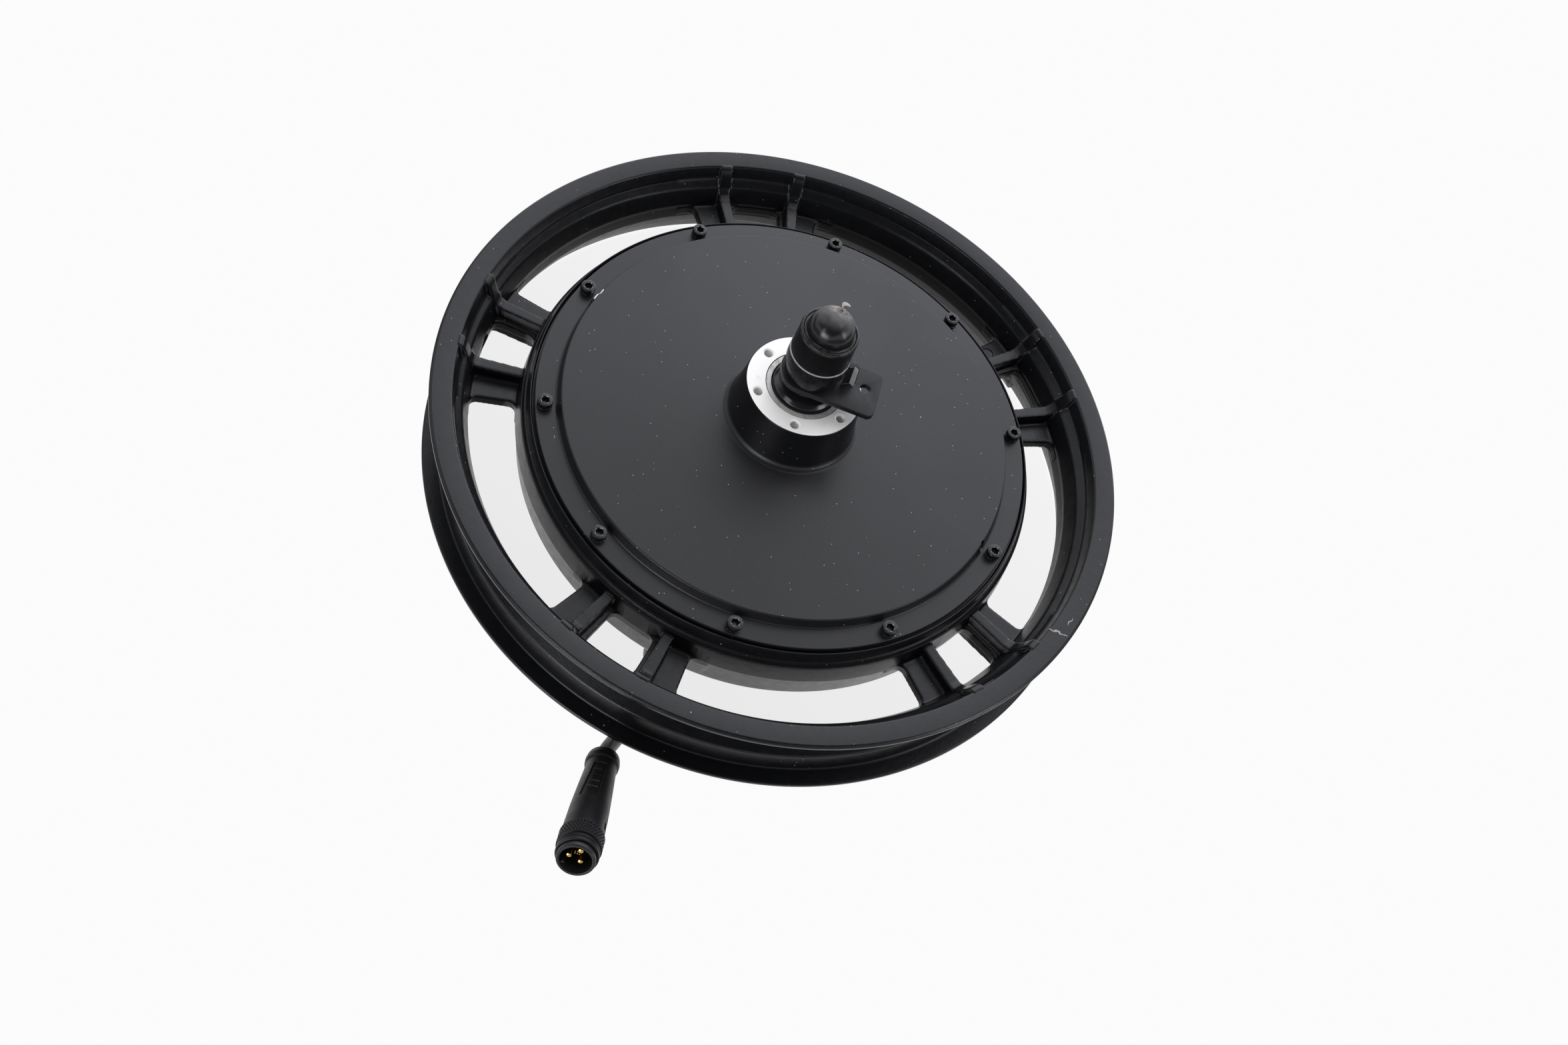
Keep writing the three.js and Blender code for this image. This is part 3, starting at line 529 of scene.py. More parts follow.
def slab(name, loops, y0, y1, bevel):
    """A plate from flat loops of (x, z) points: the first is its edge, the rest are holes."""
    curve = bpy.data.curves.new(name, "CURVE")
    curve.dimensions = "2D"
    curve.fill_mode = "BOTH"
    for loop in loops:
        spline = curve.splines.new("POLY")
        spline.points.add(len(loop) - 1)
        for point, (x, z) in zip(spline.points, loop):
            point.co = (x, z, 0, 1)
        spline.use_cyclic_u = True
    curve.extrude = (y1 - y0) / 2 - bevel
    curve.bevel_depth = bevel
    curve.bevel_resolution = 3
    curve.offset = -bevel
    holder = new_object(name, curve)
    mesh = evaluated_mesh(holder)
    bpy.data.objects.remove(holder)

    def stand_up(shape):
        bmesh.ops.remove_doubles(shape, verts=shape.verts, dist=1e-4)
        for vertex in shape.verts:
            x, z, y = vertex.co
            vertex.co = Vector((x, y + (y0 + y1) / 2, z)) * MM

    return new_object(name, facing_out(mesh, stand_up))


def block(name, size, bevel):
    """A box about the origin with rounded edges, size and bevel in millimetres."""
    shape = bmesh.new()
    bmesh.ops.create_cube(shape, size=1)
    bmesh.ops.scale(shape, vec=Vector(size) * MM, verts=shape.verts)
    bmesh.ops.bevel(shape, geom=shape.edges[:], offset=bevel * MM, segments=3, profile=0.5, affect="EDGES")
    mesh = bpy.data.meshes.new(name)
    shape.to_mesh(mesh)
    shape.free()
    return new_object(name, mesh)


def moved(piece, x, y, z):
    piece.data.transform(Matrix.Translation(Vector((x, y, z)) * MM))
    return piece


def turned_about_y(piece, degrees):
    """Turns the mesh itself from +X towards +Z."""
    piece.data.transform(Matrix.Rotation(-math.radians(degrees), 4, "Y"))
    return piece


def placed(piece, radius, degrees):
    """Moves the mesh off the axis, without turning it."""
    x, z = polar(radius, degrees)
    return moved(piece, x, 0, z)


def combined(name, pieces):
    """One object from several closed meshes that don't touch, removing the originals."""
    whole = bmesh.new()
    for piece in pieces:
        whole.from_mesh(piece.data)
        bpy.data.objects.remove(piece)
    mesh = bpy.data.meshes.new(name)
    whole.to_mesh(mesh)
    whole.free()
    return new_object(name, mesh)


def boolean(piece, tool, operation="DIFFERENCE"):
    """Cuts or joins closed meshes, then removes the tool."""
    modifier = piece.modifiers.new(operation, "BOOLEAN")
    modifier.operation = operation
    modifier.solver = "MANIFOLD"
    modifier.object = tool
    bpy.context.view_layer.update()
    baked(piece)
    bpy.data.objects.remove(tool)
    return piece


def shade(mesh, angle=32):
    """Smooth shading with edges sharper than angle kept crisp."""
    mesh.polygons.foreach_set("use_smooth", [True] * len(mesh.polygons))
    mesh.set_sharp_from_angle(angle=math.radians(angle))


def paint(mesh, *materials):
    mesh.materials.clear()
    for material in materials:
        mesh.materials.append(material)


def repaint(piece, choose, *materials):
    """Gives each face of a piece the material that choose picks from its centre, in millimetres."""
    paint(piece.data, *materials)
    for face in piece.data.polygons:
        face.material_index = materials.index(choose(face.center / MM))


def finish_piece(piece, body, material, slot, *nodes, angle=32):
    """Material, shading, body and the CAD nodes that the piece stands for."""
    if not any(piece.data.materials):
        paint(piece.data, material)
    shade(piece.data, angle)
    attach(piece, body)
    if nodes:
        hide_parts(*nodes)


def turned_piece(name, node, body, material, slot, corners, segments=MEDIUM, steps=5):
    finish_piece(turned(name, corners, segments, steps), body, material, slot, node)


# ---- cast wheel
def mirror_profile(corners):
    """The same corners on the other side of y = 0, in the order that carries the outline on."""
    return [(r, -y, *rounding) for r, y, *rounding in reversed(corners)]


def rim_corners():
    """The rim's outline, both halves alike: barrel, rolled step, flange, bead seat and well."""
    half = [
        (142, 0), (142.1, -4, 4.5), (145.2, -12.2, 4.6), (148.6, -14.9, 0.8),
        (149.1, -17.3, 1), (150.3, -21.95, 1.3),
        (159.3, -LIP_Y + 0.15, 0.7), (LIP_R, -LIP_Y + 1.2, 0.9), (LIP_R, -LIP_Y + 3.2, 1.3),
        (152.9, -LIP_Y + 3.2, 1), (151.9, -9, 2), (146.2, -5.2, 3), (146, 0),
    ]
    return half + mirror_profile(half)[1:-1]


def hub_corners():
    """The motor ring's outline: cover seat, rolled bead, shoulder, parting line, drafted far half."""
    seat = [(106.6, -16.8), (115.9, -16.8, 0.3), (116.05, -18.6, 0.3), (116.7, -19.3, 0.7)]
    shoulder = [
        (118.15, -14.5, 0.5), (118.05, -14.1, 0.1), (118.7, -13.9, 0.4), (119.6, -12.6, 0.5),
        (119.55, -12.2, 0.1), (120, -12, 0.3), (120.25, -10.2, 0.8),
    ]
    wall = [(121.3, -1.35, 0.25), (121.1, -1, 0.15), (118.9, 14.6, 0.9)]
    return seat + shoulder + wall + mirror_profile(seat)


def wall_radius(y):
    """Outside of the motor ring beside the web."""
    return 121.3 + (y + 1.2) * (0.118 if y < -1.2 else -0.152)


def barrel_radius(y):
    """Inside of the rim at a height from its mid-plane."""
    return float(np.interp(abs(y), (0, 4, 12.2, 14.9, 21.9), (142, 142.1, 145.2, 148.6, 150.3)))


def window_side(edge, turn):
    """The side of a window at an angle, from the inner radius out, its round corners leaning to turn."""
    in_turn, out_turn = (turn * math.degrees(WINDOW_CORNER / r) for r in (WINDOW_IN_R, WINDOW_OUT_R))
    foot, top = polar(WINDOW_IN_R, edge + in_turn), polar(WINDOW_OUT_R, edge + out_turn)
    low, high = polar(WINDOW_IN_R + WINDOW_CORNER, edge), polar(WINDOW_OUT_R - WINDOW_CORNER, edge)
    return bend(foot, polar(WINDOW_IN_R, edge), low, 6) + bend(high, polar(WINDOW_OUT_R, edge), top, 6)


def window_loop(start, end):
    """A window between two angles with round corners."""
    in_turn, out_turn = (math.degrees(WINDOW_CORNER / r) for r in (WINDOW_IN_R, WINDOW_OUT_R))
    outer = arc_points(WINDOW_OUT_R, start + out_turn, end - out_turn)[1:-1]
    inner = arc_points(WINDOW_IN_R, end - in_turn, start + in_turn)[1:-1]
    return window_side(start, 1) + outer + window_side(end, -1)[::-1] + inner


def web_loop(half):
    """Outline of one pair's web, flaring into the hub and the rim with the windows' round corners."""
    sides = [
        [polar(WEB_IN_R, side * half), polar(WINDOW_IN_R, side * half), *window_side(side * WEB_ANGLE, side),
         polar(WINDOW_OUT_R, side * half), polar(WEB_OUT_R, side * half)]
        for side in (1, -1)
    ]
    outer, inner = arc_points(WEB_OUT_R, half, -half), arc_points(WEB_IN_R, -half, half)
    return sides[0] + outer[1:-1] + sides[1][::-1] + inner[1:-1]


def rib(name, side):
    """One rib from its side outline: level from the hub, up the barrel, ending as a tab on the flange."""
    half = [
        (118.4, -RIB_Y), (140.2, -RIB_Y), (143, -RIB_Y - 1), (144.8, -RIB_Y - 3.2), (146.1, -16.2),
        (147.2, -19.4), (148.4, -21.6), (150.2, -22.4), (151.3, -22.3), (151.3, -14), (146, -6),
    ]
    outline = half + [(r, -y) for r, y in reversed(half)]
    widening = RIB_WIDTH / ((WINDOW_IN_R + WINDOW_OUT_R) / 2)
    piece = loft(name, [[(r, y, edge * widening * r) for r, y in outline] for edge in (-0.5, 0.5)])
    return turned_about_y(piece, side * RIB_ANGLE)


def spoke_pair():
    """One spoke pair with cast fillets: its parts are fused as voxels, then smoothed."""
    wall = [(wall_radius(y) - PATCH_SINK, y) for y in np.linspace(-11.5, 14.3, 14)]
    hub_patch = sector("hub_patch", wall + [(117, 14.3), (117, -11.5)], PATCH_ANGLE, 40)
    barrel = [(barrel_radius(y) + PATCH_SINK, y) for y in np.linspace(-21, 21, 25)]
    outer = [(r + 1.7, y) for r, y in reversed(barrel)]
    rim_patch = sector("rim_patch", barrel + outer, PATCH_ANGLE, 40)
    loops = [web_loop(PATCH_ANGLE - 0.2), window_loop(-SMALL_WINDOW_ANGLE, SMALL_WINDOW_ANGLE)]
    web = slab("web", loops, -WEB_Y, WEB_Y, 0.5)
    pair = combined("spoke_pair", [hub_patch, rim_patch, web, rib("rib_a", 1), rib("rib_b", -1)])
    remesh = pair.modifiers.new("fuse", "REMESH")
    remesh.mode = "VOXEL"
    remesh.voxel_size = SPOKE_VOXEL
    smooth = pair.modifiers.new("soften", "SMOOTH")
    smooth.factor = 0.5
    smooth.iterations = 5
    return baked(pair)


def date_boss():
    """A plain round boss on one plate: a raised ring around a shallow dish."""
    boss = turned("date_boss", [
        (0, -1), (0, -3.1), (3, -3.1, 0.2), (3.25, -3.6, 0.15), (3.9, -3.6, 0.2), (4.1, -1),
        (0, -1),
    ], 48, 3)
    return turned_about_y(moved(boss, DATE_BOSS_R, 0, 0), DATE_BOSS_ANGLE)


def cast_wheel():
    wheel = turned("wheel_casting", rim_corners(), FINE, 5)
    boolean(wheel, turned("hub", hub_corners(), FINE, 4), "UNION")
    pair = spoke_pair()
    pairs = []
    for angle in every_angle(PAIR_COUNT, PAIR_START):
        pairs.append(turned_about_y(new_object("pair", pair.data.copy()), angle))
    bpy.data.objects.remove(pair)
    boolean(wheel, combined("pairs", pairs), "UNION")
    boolean(wheel, date_boss(), "UNION")
    hole = rod("valve_hole", VALVE_HOLE_R, 138, 149, 48)
    hole.data.transform(Matrix.Rotation(math.radians(-90), 4, "Z"))
    boolean(wheel, turned_about_y(hole, VALVE_ANGLE))
    finish_piece(wheel, WHEEL, CASTING, "black_casting", "cast_wheel")


# ---- covers and their screws
def threaded_hole(radius, mouth_y, floor_y, pitch=0.8, depth=0.3):
    """A tool for a tapped hole: a chamfered mouth and thread-like ridges."""
    corners = [(0, mouth_y - 1), (radius + depth, mouth_y - 1), (radius + depth, mouth_y + 0.05)]
    y = mouth_y + 0.4
    while y < floor_y - pitch:
        corners += [(radius - depth, y), (radius, y + pitch / 2)]
        y += pitch
    corners += [(radius - depth, floor_y), (0, floor_y + 1)]
    return turned("tapped", corners, 40)


def screw_holes(side):
    """Clearance holes under the screws of one cover."""
    holes = [placed(rod("hole", 1.95, side * 15, side * 21, 20), SCREW_R, angle)
             for angle in every_angle(SCREW_COUNT)]
    return combined("screw_holes", holes)


def pry_notch(angle):
    """A small slot cut into the foot of the cover's raised disc."""
    return turned_about_y(moved(block("pry_notch", (3, 6, 2.4), 0.3), 104.9, -23.05, 0), angle)


def cover_face(centre):
    """The brake cover is bare on the boss's end and in its bolt holes, and chipped in one notch."""
    r = math.hypot(centre.x, centre.z)
    angle = math.degrees(math.atan2(centre.z, centre.x)) % 360
    if centre.y < BOSS_Y + 0.02 and r < 26.2 or 19 < r < 25 and centre.y < -37:
        return BARE_FACE
    if abs(angle - NOTCH_ANGLES[0]) < 0.9 and 103 < r < 106.2 and -25.35 < centre.y < -20.02:
        return CHIP
    return BOSS_COAT if r < 30.6 and centre.y < -28 else COVER_COAT


def brake_cover():
    cover = turned("cover_brake_side", [
        (114.8, -16.8, 0.1), (COVER_R, -20, 0.35), (105.3, -20, 1.2), (104, -25.4, 0.75),
        (29.6, -25.4, 3), (26.5, BOSS_Y, 0.4), (17.55, BOSS_Y, 0.35), (17.55, -38.45), (15, -38.45),
        (15, -35.2), (24.6, -35.2), (28, -22.2), (101, -22.2), (102.4, -13.2),
        (106.55, -13.2), (106.55, -16.8),
    ], FINE, 8)
    bolt_holes = [placed(threaded_hole(2.35, BOSS_Y, -37.5), DISC_BOLT_R, angle)
                  for angle in every_angle(DISC_BOLTS, DISC_BOLT_START)]
    boolean(cover, combined("disc_bolts", bolt_holes))
    boolean(cover, combined("notches", [pry_notch(angle) for angle in NOTCH_ANGLES]))
    boolean(cover, screw_holes(-1))
    repaint(cover, cover_face, COVER_COAT, BOSS_COAT, BARE_FACE, CHIP)
    finish_piece(cover, WHEEL, COVER_COAT, "charcoal_cover", "brake_side_cover")


def cable_cover():
    cover = turned("cover_cable_side", [
        (21.05, 24.35), (21.05, 42, 0.4), (27.6, 42, 0.6), (30.8, 25.4, 4.5), (104, 25.4, 0.75),
        (105.3, 20, 1.2), (COVER_R, 20, 0.35), (114.8, 16.8, 0.1), (106.55, 16.8), (106.55, 13.2),
        (102.4, 13.2), (101, 22.2), (19, 22.2), (19, 24.35),
    ], FINE, 8)
    boolean(cover, screw_holes(1))
    finish_piece(cover, WHEEL, COVER_COAT, "charcoal_cover", "cable_side_cover")


def screw_mesh():
    """A socket head screw on its spring washer, head towards -Y."""
    top, seam = SCREW_TOP_Y, SCREW_WASHER_Y
    head = turned("screw", [
        (0, top), (SCREW_HEAD_R, top, 0.55), (SCREW_HEAD_R, seam - 0.05, 0.2), (3, seam - 0.05),
        (3, seam + 0.05), (3.45, seam + 0.05, 0.25), (3.45, -20.02, 0.1), (1.6, -20.02),
        (1.6, -11, 0.2), (0, -11),
    ], 40)
    mouth = [(0, top - 0.5), (2.5, top - 0.5), (1.95, top + 0.25), (0, top + 0.25)]
    boolean(head, turned("chamfer", mouth, 40))
    boolean(head, rod("socket", 2, top - 1, top + 2.3, 6))
    mesh = head.data
    bpy.data.objects.remove(head)
    paint(mesh, BLACK_STEEL)
    shade(mesh)
    return mesh


def cover_screws():
    mesh = screw_mesh()
    for i, angle in enumerate(every_angle(SCREW_COUNT)):
        x, z = polar(SCREW_R, angle)
        for side in ("brake", "cable"):
            screw = new_object(f"screw_{side}_{i + 1}", mesh)
            screw.rotation_euler = (0 if side == "brake" else math.pi, rng.uniform(0, math.pi), 0)
            screw.location = Vector((x, 0, z)) * MM
            bpy.context.view_layer.update()
            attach(screw, WHEEL)
            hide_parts(f"{side}_cover_screw_{i + 1}")


def bearings():
    turned_piece("race_brake_outer", "brake_bearing_outer_race", WHEEL, RACE, "bare_steel", [
        (15.1, -48.5, 0.3), (17.5, -48.5, 0.3), (17.5, -38.5, 0.3), (15.1, -38.5, 0.3),
    ])
    turned_piece("shield_brake", "brake_bearing_shield", WHEEL, RUBBER, "black_rubber", [
        (11.4, -48.3, 0.2), (14.6, -48.3, 0.3), (14.6, -47.3, 0.1), (11.4, -47.3, 0.1),
    ])
    turned_piece("seal_cable_side", "cable_side_oil_seal", WHEEL, RUBBER, "black_rubber", [
        (10.4, 36.8, 0.2), (21, 36.8, 0.2), (21, 41.6, 0.3), (19, 41.6, 0.3), (18.4, 40.6, 0.3),
        (12.6, 40.6, 0.5), (11.9, 41.6, 0.3), (10.4, 41.4, 0.3),
    ])
    turned_piece("dust_ring", "brake_side_dust_ring", FIXED, SEAL, "black_rubber", [
        (8.8, -48.9), (14.2, -48.9, 0.3), (14.3, -49.8, 0.6), (12.6, -51.6, 2), (8.8, -53, 0.5),
    ], steps=6)


# ---- axle hardware
def thread_corners(radius, y0, y1, pitch, depth):
    corners = []
    y = y0
    while y + pitch <= y1:
        shares = ((radius, 0.1), (radius, 0.25), (radius - depth, 0.7))
        corners += [(r, y + pitch * share) for r, share in shares]
        y += pitch
    return corners


def flat_tools(half, y0, y1):
    """Two blocks that cut flats at half to each side of the axle's middle."""
    tools = [moved(block("flat", (40, y1 - y0, 10), 0.2), 0, (y0 + y1) / 2, s * (half + 5)) for s in (-1, 1)]
    return combined("flats", tools)


def axle():
    corners = [(0, -87), (5.2, -87, 0.3), (5.9, -86.2)]
    corners += thread_corners(6, -86, -56.4, 1.25, 0.5)
    corners += [
        (6, -56), (8.5, -56, 0.3), (8.5, -38.4), (10, -38.4), (10, -16),
        (12.5, -16), (12.5, -14.2), (10, -14.2), (10, 24.2), (10, 46, 0.3),
        (8, 46), (8, 60.2),
    ]
    corners += thread_corners(8, 60.4, 92.4, 1.5, 0.6)
    corners += [(7.9, 93), (7, 94), (3.9, 94, 0.3), (3.9, 40), (0, 40)]
    shaft = turned("axle_shaft", corners, MEDIUM)
    boolean(shaft, flat_tools(5, -90, -56.5))
    boolean(shaft, flat_tools(6.5, 56, 97))
    finish_piece(shaft, FIXED, RACE, "bare_steel", "axle")


def plate_outline():
    """The torque plate: a rounded eye round the axle and a leaf with two round corners."""
    leaf = bend((30.2, 1), (33.2, 0.2), (32.2, -2.9), 10)
    leaf += bend((26.2, -19.8), (25.2, -22.4), (22.6, -22.4), 10)
    eye = bend((-8, -10.8), (-14.2, -8.4), (-13.7, 0.5), 10)
    return leaf + eye[:-1] + bend((-13.7, 0.5), (-13.2, 7.8), (-7.6, 9.5), 10) + [(9, 9)]


def plate_face(centre):
    """The lug's narrow face that turns towards the nut is rubbed bare."""
    if centre.y > PLATE_Y[0] - 0.3:
        return PLATE
    height = (PLATE_Y[0] - centre.y) / (PLATE_Y[0] - LUG_TOP_Y)
    start, end = (Vector(LUG_FOOT[k]).lerp(Vector(LUG_TOP[k]), height) for k in (1, 2))
    spot = Vector((centre.x, centre.z)) - start
    along = (end - start).normalized()
    across = abs(spot.x * along.y - spot.y * along.x)
    reach = spot.dot(along) / (end - start).length
    return WORN_FACE if across < 0.3 and -0.05 < reach < 1.05 else PLATE


def torque_plate():
    """A flat plate with a bent lug, the axle's hole and a small hole."""
    loops = [plate_outline(), circle(6.35), circle(2.4, 23.4, -8)]
    plate = slab("torque_plate_fine", loops, *PLATE_Y, 0.35)
    rings = ((PLATE_Y[0] + 1, LUG_FOOT), (LUG_TOP_Y, LUG_TOP))
    lug = loft("lug", [[(x, y, z) for x, z in outline] for y, outline in rings])
    bevel = lug.modifiers.new("edges", "BEVEL")
    bevel.width = 0.22 * MM
    bevel.segments = 2
    boolean(plate, baked(lug), "UNION")
    repaint(plate, plate_face, PLATE, WORN_FACE)
    finish_piece(plate, FIXED, PLATE, "blackened_steel", "torque_plate")


def nut(name, node, bore, flange_r, corner_r, y0, y_flange, y1):
    """A flanged hex nut with chamfered far corners and worn flange edges."""
    sign, wear = (1 if y1 > y_flange else -1), NUT_WEAR
    flange = turned(name, [
        (0, y0), (flange_r - wear, y0), (flange_r, y0 + sign * wear),
        (flange_r, y_flange - sign * wear), (flange_r - wear, y_flange), (0, y_flange),
    ], MEDIUM)
    hexagon = rod("hex", corner_r, y_flange - sign * 0.3, y1, 6)
    cone = turned("cone", [
        (0, y_flange - sign * 2), (corner_r + 0.1, y_flange - sign * 2),
        (corner_r + 0.1, y1 - sign * 1), (corner_r * 0.88, y1, 0.2), (0, y1),
    ], MEDIUM)
    boolean(flange, boolean(hexagon, cone, "INTERSECT"), "UNION")
    boolean(flange, rod("bore", bore, min(y0, y1) - 1, max(y0, y1) + 1, SMALL))

    def nut_face(centre):
        on_edge = min(abs(centre.y - y0), abs(centre.y - y_flange)) < wear * 0.8
        worn = on_edge and flange_r - wear < math.hypot(centre.x, centre.z) < flange_r
        return WORN_FACE if worn else BLACK_STEEL

    repaint(flange, nut_face, BLACK_STEEL, WORN_FACE)
    finish_piece(flange, *STEEL_PIECE, node)


def strap_curl():
    """A short torn strip that curls off the dome's upper right."""
    path = [(3.6, -98, 2), (2.6, -99.6, 3.7), (2, -101, 5), (3.6, -101.7, 5.3), (5.8, -101.2, 4.2)]
    rings = []
    for i, (x, y, z) in enumerate(path):
        half, thick = 1.5 - 0.16 * i, 0.7 - 0.05 * i
        edges = ((-thick, -half), (thick, -half), (thick, half), (-thick, half))
        rings.append([(x + across * 0.6, y + across * 0.5, z + along) for across, along in edges])
    curl = loft("curl", rings)
    curl.modifiers.new("soft", "SUBSURF").levels = 2
    return baked(curl)


def axle_cap():
    """Rubber cap: skirt, rolled rim, dome with a worn, slightly lumpy top, and a torn curl of its strap."""
    profile = rounded([
        (0, -92), (8.2, -90), (11.3, -87), (11.3, -74.4, 0.2), (13.35, -74.4, 0.3),
        (12.85, -87.3, 0.4), (13, -87.9, 0.3), (12.75, -88.9, 0.6), (11.9, -89.2, 0.5), (11.2, -88.5, 0.5),
        (DOME_R + 0.1, -88.9, 0.4), (DOME_R, DOME_Y),
    ], 5, False)
    for i in range(1, DOME_STEPS):
        a = math.pi / 2 * i / DOME_STEPS
        profile.append((DOME_R * math.cos(a) ** 0.92, DOME_Y - DOME_R * math.sin(a)))
    profile.append((0, DOME_Y - DOME_R))
    cap = solid("axle_cap", *lathe(profile, MEDIUM))
    for vertex in cap.data.vertices:
        x, y, z = vertex.co / MM
        if y < LUMPS_Y:
            lump = math.sin(x * 0.9 + 1) * math.sin(z * 0.8) * 0.10
            crater = -0.8 * math.exp(-(((x - 4.9) / 1.3) ** 2 + ((z - 1.6) / 0.8) ** 2))
            vertex.co += vertex.normal * (lump + crater) * MM
    boolean(cap, strap_curl(), "UNION")
    finish_piece(cap, FIXED, CAP, "black_rubber", "brake_axle_cap", angle=40)


def axle_hardware():
    axle()
    torque_plate()
    turned_piece("spacer_brake", "brake_side_spacer", *STEEL_PIECE, [
        (6.35, -57.8, 0.2), (9.4, -57.8, 0.3), (9.4, -56.1, 0.3), (6.35, -56.1, 0.2),
    ])
    turned_piece("lock_washer_brake", "brake_side_lock_washer", *STEEL_PIECE, [
        (6.35, -67), (11.9, -67, 0.3), (12.3, -66.4, 0.2), (12.3, -61.4, 0.2), (11.9, -60.8, 0.2),
        (6.35, -60.8),
    ])
    nut("nut_brake", "brake_axle_nut", 6.35, 13.6, 10.9, -67.1, -74.3, -83)
    axle_cap()
    turned_piece("spacer_cable", "cable_side_spacer", *STEEL_PIECE, [
        (8.35, 46.1, 0.2), (12, 46.1, 0.4), (12, 60, 0.4), (8.35, 60, 0.2),
    ])
    turned_piece("washer_cable", "cable_side_washer", *STEEL_PIECE, [
        (8.35, 66, 0.2), (14, 66, 0.5), (14, 68.6, 0.3), (8.35, 68.6, 0.2),
    ])
    nut("nut_cable", "cable_axle_nut", 8.35, 13.6, 12.6, 68.7, 71.2, 82)
    turned_piece("grommet", "cable_grommet", FIXED, RUBBER, "black_rubber", [
        (3.6, 90), (4.8, 90), (4.8, 94.2), (5.6, 94.2, 0.3), (5.3, 95.4, 0.5), (3.6, 95.6, 0.3),
    ], SMALL)


# ---- cable
def smooth_path(points, steps):
    """A centripetal Catmull-Rom line through points."""
    knots = [Vector(p) for p in points]
    knots = [knots[0] * 2 - knots[1], *knots, knots[-1] * 2 - knots[-2]]
    path = []
    for i in range(1, len(knots) - 2):
        p = knots[i - 1:i + 3]
        t = [0]
        for a, b in zip(p, p[1:]):
            t.append(t[-1] + math.sqrt((b - a).length))
        for k in range(steps):
            u = t[1] + (t[2] - t[1]) * k / steps
            a = [p[j].lerp(p[j + 1], (u - t[j]) / (t[j + 1] - t[j])) for j in range(3)]
            b = [a[j].lerp(a[j + 1], (u - t[j]) / (t[j + 2] - t[j])) for j in range(2)]
            path.append(b[0].lerp(b[1], (u - t[1]) / (t[2] - t[1])))
    path.append(knots[-2])
    return path


def motor_cable():
    """A round cable along its path, its rings carried on without twist."""
    path = smooth_path(CABLE_POINTS, 14)
    rings = []
    side = (path[1] - path[0]).normalized().orthogonal()
    for before, point, after in zip(path[:1] + path, path, path[1:] + path[-1:]):
        along = (after - before).normalized()
        side = (side - along * side.dot(along)).normalized()
        across = along.cross(side)
        turns = (polar(CABLE_RADIUS, angle) for angle in every_angle(32))
        rings.append([tuple(point + side * u + across * v) for u, v in turns])
    finish_piece(loft("cable", rings), FIXED, JACKET, "cable_jacket", "motor_cable")


# ---- plug
def plug_frame():
    """From the plug's own frame, with +Y towards its mouth, to the wheel's."""
    front = Vector((0.090, -0.880, 0.470))
    front = (front - PLUG_AXIS * front.dot(PLUG_AXIS)).normalized()
    rows = Matrix((PLUG_AXIS.cross(front), PLUG_AXIS, front)).transposed().to_4x4()
    return Matrix.Translation((PLUG_TIP - PLUG_AXIS * PLUG_LONG) * MM) @ rows


PLUG_MATRIX = plug_frame()


def camera_side_angle():
    """Angle about the plug of the direction that faces the camera, from its front towards its side."""
    towards = PLUG_MATRIX.to_3x3().transposed() @ (CAMERA_PLACE - PLUG_TIP + PLUG_AXIS * PLUG_LONG / 2)
    return math.degrees(math.atan2(towards.x, towards.z))


def soft_step(value, low, high):
    t = min(max((value - low) / (high - low), 0), 1)
    return t * t * (3 - 2 * t)


def within(value, low, high, edge):
    return soft_step(value, low - edge, low) * (1 - soft_step(value, high, high + edge))


def grip_depth(angle, s):
    """How far the body's surface sinks at an angle from the camera side, s millimetres from the cable."""
    share = min(max((s - 15) / 22, 0), 1)
    left, right = -27 - 15 * share, 17 - 7 * share
    panel = within(angle, left, right, 3) * within(s, 15, 37.5, 0.35)
    rib_lines = sum(within(s, y, y + 0.35, 0.3) for y in (19.5, 23.5, 27.5, 31.5))
    ribs = rib_lines * within(angle, left + 6, right - 6, 3)
    slot = within(angle, 74, 90, 3) * within(s, 44, 53.2, 0.4)
    mark = within(angle, 60, 67, 2) * within(s, 48, 51.5, 0.4)
    return 0.5 * panel - 0.34 * ribs * panel + 0.75 * slot + 0.4 * mark


def knurl_depth(angle, y):
    """How far the coupling ring's surface sinks between its crossed ridges."""
    if not KNURL_Y[0] + 0.3 < y < KNURL_Y[1] - 0.3:
        return 0
    a = math.radians(angle) * KNURL_COUNT
    cross = abs(math.sin(a + y * 1.5)) * abs(math.sin(a - y * 1.5))
    return 0.5 * (1 - min(1, cross * 2))


def plug_piece(piece, body, material, slot, *nodes, angle=32):
    """Moves a piece drawn in the plug's own frame into place and finishes it."""
    piece.data.transform(PLUG_MATRIX)
    finish_piece(piece, body, material, slot, *nodes, angle=angle)


def sunk_turning(name, profile, segments, sink):
    """A lathe whose radius is lowered by sink(angle, height)."""
    vertices, faces = lathe(profile, segments)
    sunk = []
    for x, y, z in vertices:
        r = math.hypot(x, z)
        share = (r - sink(math.degrees(math.atan2(x, z)), y)) / r
        sunk.append((x * share, y, z * share))
    return solid(name, sunk, faces)


def plug_body():
    facing = camera_side_angle()

    def sink(angle, y):
        return grip_depth((facing - angle + 180) % 360 - 180, y)

    outline = rounded([
        (3.6, 2.8, 0.3), (5.5, 3.1, 1.5), (6.9, 5, 2), (7.35, 7.8, 1.5), (7.2, 10, 0.4),
        (6.6, 11, 1.2), (6.7, 14.5, 4), (7.3, 24, 20), (8.1, 38, 20), (8.62, 54.3, 0.4),
        (8.3, 54.55), (3.8, 54.55), (3.8, 50), (3.6, 46),
    ])
    body = sunk_turning("plug_shell", refine(outline, 0.35), 240, sink)
    plug_piece(body, FIXED, PLASTIC, "black_plastic", "plug_body", angle=45)


